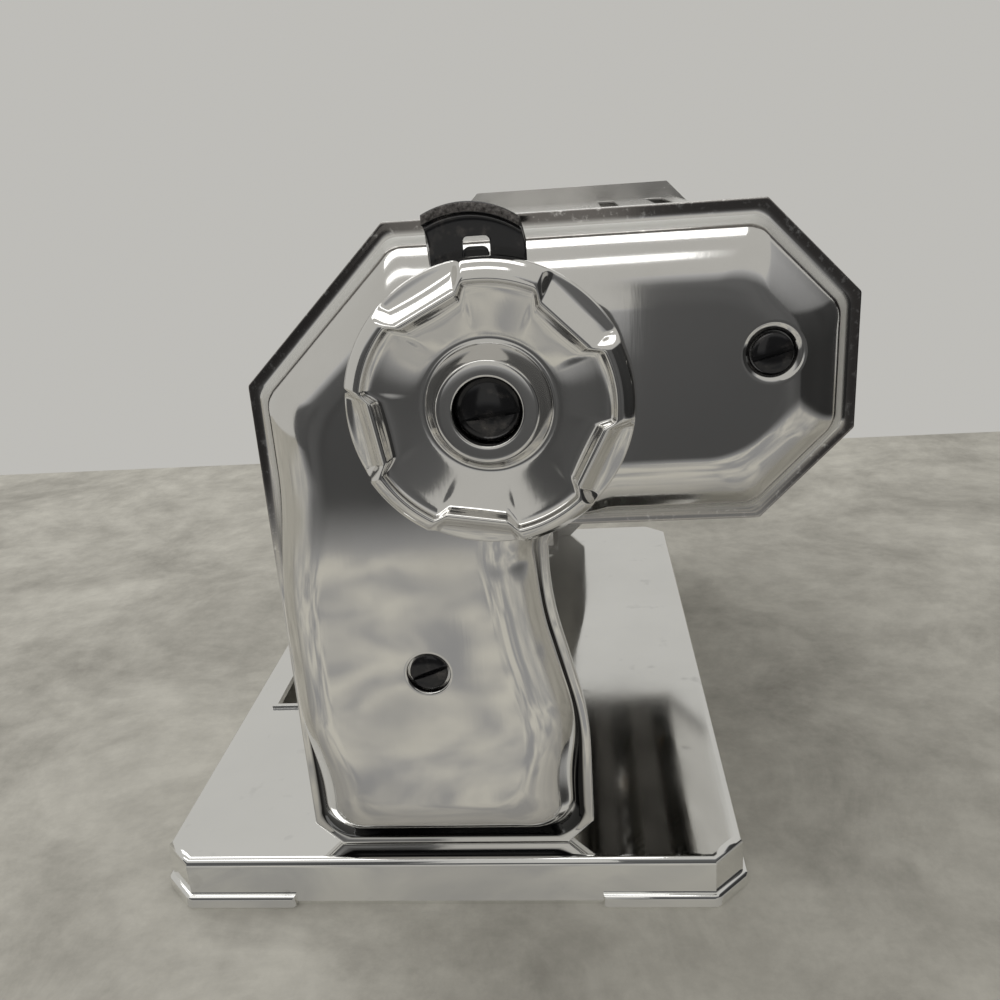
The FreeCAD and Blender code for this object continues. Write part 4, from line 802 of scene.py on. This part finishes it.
def coverPoints(distance, share):
    c = endCover
    inner = insetOutline(c["outline"], distance)
    radii = [coverRadius(index, distance, share) for index in range(len(inner))]
    reaches = sharedReaches(inner, radii)
    corners = [coverCorner(inner, index, reach, distance) for index, reach in enumerate(reaches)]
    ring = []
    for index, corner in enumerate(corners):
        here, after = c["outline"][index], neighbours(c["outline"], index)[1]
        count = max(2, round((Vector(after) - Vector(here)).length / c["sideGap"]))
        following = neighbours(corners, index)[1][0]
        ring += corner
        ring += [corner[-1].lerp(following, step / (count + 1)) for step in range(1, count + 1)]
    return ring


def coverRing(distance, beyond, faceInset, depth, side):
    c = endCover
    share = max(0, (distance - c["flangeInside"]) / (faceInset - c["flangeInside"]))
    headPoints = coverPoints(distance + beyond, share)
    columnPoints = coverPoints(columnInset(distance, depth) + beyond, share)
    y, lift = c["framePlane"] + depth, c["footLift"]
    ring = []
    for head, column in zip(headPoints, columnPoints):
        point = column.lerp(head, headShare((head + column) / 2))
        rise = lift["rise"] * ease(depth, *lift["depth"]) * ease(point.y, *lift["z"])
        ring.append((point.x, y * side, point.y + rise))
    return ring


def plainHole(radius):
    return [(radius + more, depth) for more, depth in holeShape["plain"]]


def drillHoles(piece, holes, face, side):
    bpy.ops.object.select_all(action="DESELECT")
    drill = emptyPiece("drill", bpy.data.meshes.new("drill"))
    bpy.context.view_layer.objects.active = drill
    bpy.ops.object.mode_set(mode="EDIT")
    for (x, z), steps in holes:
        bpy.ops.mesh.primitive_cylinder_add(
            vertices=holeShape["sides"], radius=(steps[0][0] + holeShape["overlap"]) * mm,
            depth=holeShape["drillDepth"] * mm, rotation=(math.radians(90), 0, 0),
            location=Vector((x, side * face, z)) * mm,
        )
    bpy.ops.object.mode_set(mode="OBJECT")
    cutWith(piece, drill)


def buildCup(name, centre, steps, face, side):  # the rim that is pressed into a hole
    rings = [circleRing(centre, steps[0][0] + holeShape["overlap"], side * face)]
    rings += [circleRing(centre, radius, side * (face - depth)) for radius, depth in steps]
    cup = loft(name, rings, cap=False)
    faceTowards(cup, side)
    applied(cup, "SOLIDIFY", thickness=endCover["sheet"] * mm, offset=-1)
    return cup


def buildCover(name, node, side, holes):
    c = endCover
    rows = [(distance, 0, depth) for distance, depth in coverProfile()]
    faceInset = rows[-1][0]
    rows += [(faceInset, beyond, c["depth"]) for beyond in c["faceRings"]]
    face = c["framePlane"] + c["depth"]
    cover = loft(name, [
        coverRing(distance, beyond, faceInset, depth, side) for distance, beyond, depth in rows
    ])
    outwards(cover)
    applied(cover, "SOLIDIFY", thickness=c["sheet"] * mm, offset=-1)
    drillHoles(cover, holes, face, side)
    cups = [buildCup(name + "Cup", centre, steps, face, side) for centre, steps in holes]
    cover = joined([cover] + cups)
    smooth(cover, 50)
    finishPiece(cover, node, "cover_chrome")


buildCover("dialCoverShell", "dial_end_cover", -1, [
    (places["dial"], plainHole(5.6)), (places["lowerScrew"], holeShape["sink"]),
    (places["dialUpperScrew"], holeShape["dimple"]),
])
buildCover("crankCoverShell", "crank_end_cover", 1, [
    (places["dial"], plainHole(6.05)), (places["crank"], plainHole(6.6)),
    (places["wideSocket"], plainHole(5.9)), (places["narrowSocket"], plainHole(5.9)),
    (places["lowerScrew"], holeShape["sink"]), (places["crankUpperScrew"], holeShape["dimple"]),
])
print("end covers made")


# the dial: a pressed cup with five finger lobes and a raised ring round its screw
dialKnob = {
    "back": 114.5, "lobes": 5, "turned": 9, "blend": 2.9, "sheet": 0.9,
    "blendSteps": [0.15, 0.35, 0.55, 0.75, 0.95, 1.2, 1.6], "lobeSteps": 8, "widestChord": 20,
    "lobe": [  # radius, height over the back plane
        (25.4, 0), (25.6, 0.5), (25.8, 1.5), (26.0, 3.0), (26.1, 4.3), (26.2, 5.4), (26.15, 6.3),
        (26.0, 7.1), (25.75, 7.8), (25.4, 8.4), (24.95, 8.95), (24.45, 9.4), (23.9, 9.75),
        (23.4, 9.95), (22.95, 10.02), (22.6, 9.92), (22.35, 9.55), (22.2, 9.05), (21.95, 8.65),
        (21.3, 8.2), (20.2, 7.85), (18.5, 7.25), (16.5, 6.55), (14.5, 5.85), (12.7, 5.25),
    ],
    "hollow": [  # the same rows between lobes, and how straight each runs
        (25.4, 0, 0), (25.6, 0.5, 0), (25.8, 1.5, 0), (26.0, 3.0, 0), (26.12, 4.4, 0),
        (26.15, 5.2, 0), (26.0, 5.5, 0), (25.5, 5.66, 0.05), (24.7, 5.85, 0.2), (23.8, 6.2, 0.5),
        (22.95, 6.75, 0.8), (22.25, 7.5, 1), (21.7, 8.35, 1), (21.2, 9.15, 1), (20.65, 9.8, 1),
        (20.15, 10.02, 1), (19.75, 9.9, 1), (19.5, 9.45, 1), (19.3, 8.8, 1), (19.05, 8.15, 1),
        (18.6, 7.6, 0.95), (17.6, 7.0, 0.7), (16.2, 6.45, 0.35), (14.4, 5.82, 0), (12.7, 5.25, 0),
    ],
    "boss": [
        (11.8, 5.1), (11.2, 5.4), (10.6, 6.4), (10.05, 7.7), (9.6, 8.9), (9.3, 9.55), (9.05, 9.88),
        (8.7, 9.96), (7.6, 9.97), (6.6, 9.96), (6.3, 9.88), (6.12, 9.6), (6.1, 7.0), (6.1, 2.2),
        (4.3, 2.1),
    ],
}


def dialAngles():  # close together where a lobe rises, and even elsewhere
    d = dialKnob
    half, widest = 180 / d["lobes"], d["blendSteps"][-1]
    steps = [-step for step in reversed(d["blendSteps"])] + d["blendSteps"]
    rest = half - 2 * widest * d["blend"]
    angles = []
    for index in range(2 * d["lobes"]):
        edge = d["turned"] + half * (index + 0.5)
        angles += [edge + d["blend"] * step for step in steps]
        angles += [
            edge + widest * d["blend"] + rest * step / d["lobeSteps"]
            for step in range(1, d["lobeSteps"])
        ]
    return angles


def lobeShare(angle):
    d = dialKnob
    pitch = 360 / d["lobes"]
    away = abs((angle - d["turned"] + pitch / 2) % pitch - pitch / 2)
    share = min(1, max(0, (pitch / 4 + d["blend"] - away) / (2 * d["blend"])))
    return share * share * (3 - 2 * share)


def dialRing(angles, outer, inner):
    d = dialKnob
    (x, z), pitch = places["dial"], 360 / d["lobes"]
    ring = []
    for angle in angles:
        share, turn = lobeShare(angle), math.radians(angle)
        away = min(abs((angle - d["turned"]) % pitch - pitch / 2), d["widestChord"])
        chord = 1 + inner[2] * (1 / math.cos(math.radians(away)) - 1)
        radius = blended(inner[0] * chord, outer[0], share)
        height = blended(inner[1], outer[1], share)
        point = (x + radius * math.sin(turn), -(d["back"] + height), z + radius * math.cos(turn))
        ring.append(point)
    return ring


def buildKnob():
    d = dialKnob
    rows = list(zip(d["lobe"], d["hollow"])) + [(row, (*row, 0)) for row in d["boss"]]
    angles = dialAngles()
    knob = loft("dialCup", [dialRing(angles, outer, inner) for outer, inner in rows], cap=False)
    outwards(knob)
    applied(knob, "SUBSURF", levels=1, render_levels=1)
    applied(knob, "SOLIDIFY", thickness=d["sheet"] * mm, offset=-1)
    smooth(knob, 60)
    finishPiece(knob, "dial_knob", "chrome_plate")


buildKnob()


# the coil spring between the dial's web and its screw, built at one length; on the machine it is
# squeezed as the dial is pulled
dialSpring = {
    "radius": 5.2, "wire": 0.7, "ends": (120.05, 116.95), "turns": 2, "steps": 72, "sides": 10,
    "bodies": ("adjuster_body", "dial_body"),
}


def buildSpring():
    d = dialSpring
    (x, z), (front, back), half = places["dial"], d["ends"], d["wire"] / 2
    leans = [math.tau * side / d["sides"] for side in range(d["sides"])]
    section = [(d["radius"] + half * math.cos(lean), half * math.sin(lean)) for lean in leans]
    rings = []
    for step in range(d["steps"] + 1):
        share = step / d["steps"]
        turn, y = math.tau * d["turns"] * share, blended(front, back, share)
        rings.append([
            (x + reach * math.cos(turn), rise - y, z - reach * math.sin(turn))
            for reach, rise in section
        ])
    spring = loft("dialSpring", rings)
    closeEnds(spring)
    smooth(spring, 60)
    standFor(spring, "dial_spring", "bright_steel")
    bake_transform(spring)


buildSpring()


# slotted screw heads: a short edge, a crown and a slot, with the shank behind
dialHead = {
    "under": 120.5, "radius": 5.95, "edge": 1.0, "crown": 3.0, "slotDepth": 1.2, "slotDrop": 0.9,
}
coverHead = {
    "under": 110.2, "radius": 3.75, "edge": 1.5, "crown": 2.5, "slotDepth": 1.1, "slotDrop": 0,
}
sunkHead = {
    "under": 109.9, "radius": 4.0, "edge": 1.2, "crown": 2.0, "slotDepth": 1.1, "slotDrop": 0,
}
screwShape = {
    "sides": 72, "round": 0.3, "edgeShare": 0.7, "edgeIn": 0.06, "crownSteps": 12, "fullness": 0.9,
    "slot": 1.0, "slotLength": 20, "coverShank": (2, 10.9),
}


def slotCutter(d, axis, side, turned):
    s = screwShape
    size = (s["slotLength"] * mm, 2 * d["slotDepth"] * mm, s["slot"] * mm)
    front = side * (d["under"] + d["crown"])
    return cubeAt(size, Vector((axis[0], front, axis[1] - d["slotDrop"])) * mm, turned)


def screwHead(name, d, axis, side, turned, shank=None):
    s, radius, edge = screwShape, d["radius"], d["edge"]
    rows = []
    if shank:
        reach, length = shank
        rows = [(reach - s["round"], -length), (reach, -length + s["round"]), (reach, 0)]
    rows += [(radius - s["round"], 0), (radius, s["round"])]
    rows += [(radius, edge * s["edgeShare"]), (radius - s["edgeIn"], edge)]
    for step in range(1, s["crownSteps"]):
        lean = math.pi / 2 * step / s["crownSteps"]
        height = edge + (d["crown"] - edge) * math.sin(lean)
        rows.append((radius * math.cos(lean) ** s["fullness"], height))
    screw = loft(name, [
        circleRing(axis, reach, side * (d["under"] + height), s["sides"]) for reach, height in rows
    ])
    closeEnds(screw)
    cutWith(screw, slotCutter(d, axis, side, turned))
    smooth(screw, 40)
    return screw


def coverScrews(name, node, side, heads):
    shank = screwShape["coverShank"]
    screws = [
        screwHead(name, head, places[place], side, turned, shank) for head, place, turned in heads
    ]
    finishPiece(joined(screws), node, slotOf[node])


dialScrew = screwHead("dialScrewHead", dialHead, places["dial"], -1, 6)
finishPiece(dialScrew, "dial_screw", "burnished_steel")
coverScrews("dialCoverScrews", "dial_cover_screws", -1, [
    (sunkHead, "lowerScrew", 20), (coverHead, "dialUpperScrew", 15),
])
coverScrews("crankCoverScrews", "crank_cover_screws", 1, [
    (sunkHead, "lowerScrew", 35), (coverHead, "crankUpperScrew", 70),
])
print("dial and screws made")


# the index plate: thick sheet bent forward into an arched lip, with a window and a tongue in it
indexHood = {
    "left": 10.1, "right": 27.25, "lipShift": -0.9, "low": 142, "back": 112, "wall": 1.0,
    "reach": 2.45, "top": 158.15, "crest": 17.7, "arch": 16.5, "lip": 1.8, "bulge": 0.02,
    "stations": 36, "edgeRound": 0.12,
    "backRows": [(0, -4, 0), (0, -1.6, 0.6), (0.15, -0.7, 1), (0.55, -0.15, 1), (1.1, 0, 1)],
    "frontRows": [(-0.3, 0.05), (-0.08, -0.05), (0, -0.25)],  # from the lip's front and top
    "lipRows": [(0, 0.25), (-0.08, 0.08), (-0.3, 0)],  # from the lip's front and underside
    "fillet": {"radius": 1.5, "steps": 4, "in": 0.35, "rows": [(-1.2, 0.2), (-2.4, 0)]},
    "window": {"x": (16.1, 20.9), "z": (148.3, 152.2), "round": 0.9, "y": (-116, -110)},
    "tongue": {
        "x": (16.0, 20.75), "z": (146.4, 150.5), "y": (-114.35, -112.7), "round": 1.3, "rim": 0.45,
        "dent": 0.6,
    },
}


def hoodSection(x):  # points of y and z, and how far each follows the lip's sideways shift
    h, fillet = indexHood, indexHood["fillet"]
    top = h["top"] - (h["arch"] - math.sqrt(h["arch"] ** 2 - (x - h["crest"]) ** 2))
    back, under = h["back"], top - h["lip"]
    front, wall = back + h["reach"], back + h["wall"]
    rows = [(back, h["low"], 0)]
    rows += [(back + y, top + z, weight) for y, z, weight in h["backRows"]]
    rows += [(front + y, top + z, 1) for y, z in h["frontRows"]]
    rows += [(front + h["bulge"], blended(top, under, 0.5), 1)]
    rows += [(front + y, under + z, 1) for y, z in h["lipRows"]]
    for step in range(fillet["steps"] + 1):
        lean = math.pi / 2 * step / fillet["steps"]
        y = wall + (front - fillet["in"] - wall) * (1 - math.sin(lean))
        z = under - fillet["radius"] * (1 - math.cos(lean))
        rows.append((y, z, 1 - step / (2 * fillet["steps"])))
    rows += [(wall, under - fillet["radius"] + z, weight) for z, weight in fillet["rows"]]
    rows += [(wall, h["low"], 0)]
    return [(x + h["lipShift"] * weight, -y, z) for y, z, weight in rows]


def roundTopped(name, shape, segments):  # a block whose upper edges along Y are rounded
    sides, top = [shape[axis] for axis in "xyz"], shape["z"][1]
    size = [(high - low) * mm for low, high in sides]
    block = cubeAt(size, [(high + low) / 2 * mm for low, high in sides])
    block.name = name
    bevelEdges(block, shape["round"], segments, lambda middle, along: (
        abs(along.y) > aligned and middle.z > top - 0.1
    ))
    return block


def dentFront(piece, rim, dent):  # its front face is inset and pressed in
    choose(piece)
    bpy.ops.object.mode_set(mode="EDIT")
    bpy.ops.mesh.select_mode(type="FACE")
    bpy.ops.mesh.select_all(action="DESELECT")
    for face in bmesh.from_edit_mesh(piece.data).faces:
        face.select_set(face.normal.y < -aligned)
    bpy.ops.mesh.inset(thickness=rim * mm)
    bpy.ops.mesh.extrude_region_move(TRANSFORM_OT_translate={"value": (0, dent * mm, 0)})
    bpy.ops.mesh.select_mode(type="VERT")
    bpy.ops.object.mode_set(mode="OBJECT")


def buildIndexPlate():
    h = indexHood
    shares = [step / (h["stations"] - 1) for step in range(h["stations"])]
    sections = [hoodSection(blended(h["left"], h["right"], share)) for share in shares]
    hood = loft("indexHood", sections)
    closeEnds(hood)
    cutWith(hood, roundTopped("window", h["window"], 5))
    tongue = roundTopped("tongue", h["tongue"], 6)
    dentFront(tongue, h["tongue"]["rim"], h["tongue"]["dent"])
    for piece in (hood, tongue):
        softenEdges(piece, h["edgeRound"])
    plate = joined([hood, tongue])
    smooth(plate, 40)
    finishPiece(plate, "index_plate", "burnished_steel")


buildIndexPlate()
print("index plate made")


# CAD shapes that are right get worn edges: a merged copy with a fine bevel stands for each
wornEdges = {
    "dial_end_frame": 0.3, "crank_end_frame": 0.3, "base_plate": 0.25, "crank_arm": 0.7,
    "top_guard": 0.2, "front_guard": 0.2, "back_guard": 0.2,
}
merging = {"threshold": 0.002 * mm, "flatAngle": 1}
footLips = {"round": 1.15, "x": 70.4, "y": 106.9, "corner": 169.3, "top": 3}


def isLipEdge(middle, direction):
    lips, across, along = footLips, abs(middle.x), abs(middle.y)
    outside = across > lips["x"] or along > lips["y"] or across + along > lips["corner"]
    return outside and (middle.z > lips["top"] or abs(direction.z) > aligned)


def wearEdges(node, width):
    piece = emptyPiece(node.title().replace("_", "") + "Worn", nodes[node].data.copy())
    onWholeMesh(
        piece, (bpy.ops.mesh.remove_doubles, {"threshold": merging["threshold"]}),
        (bpy.ops.mesh.dissolve_limited, {"angle_limit": math.radians(merging["flatAngle"])}),
    )
    if node == "base_plate":
        bevelEdges(piece, footLips["round"], 3, isLipEdge)
    softenEdges(piece, width)
    smooth(piece, 35)
    applied(piece, "WEIGHTED_NORMAL", keep_sharp=True, weight=90)
    finishPiece(piece, node, finishOf.get(node, slotOf[node]))


for node, width in wornEdges.items():
    wearEdges(node, width)
print("edges worn:", len(wornEdges))
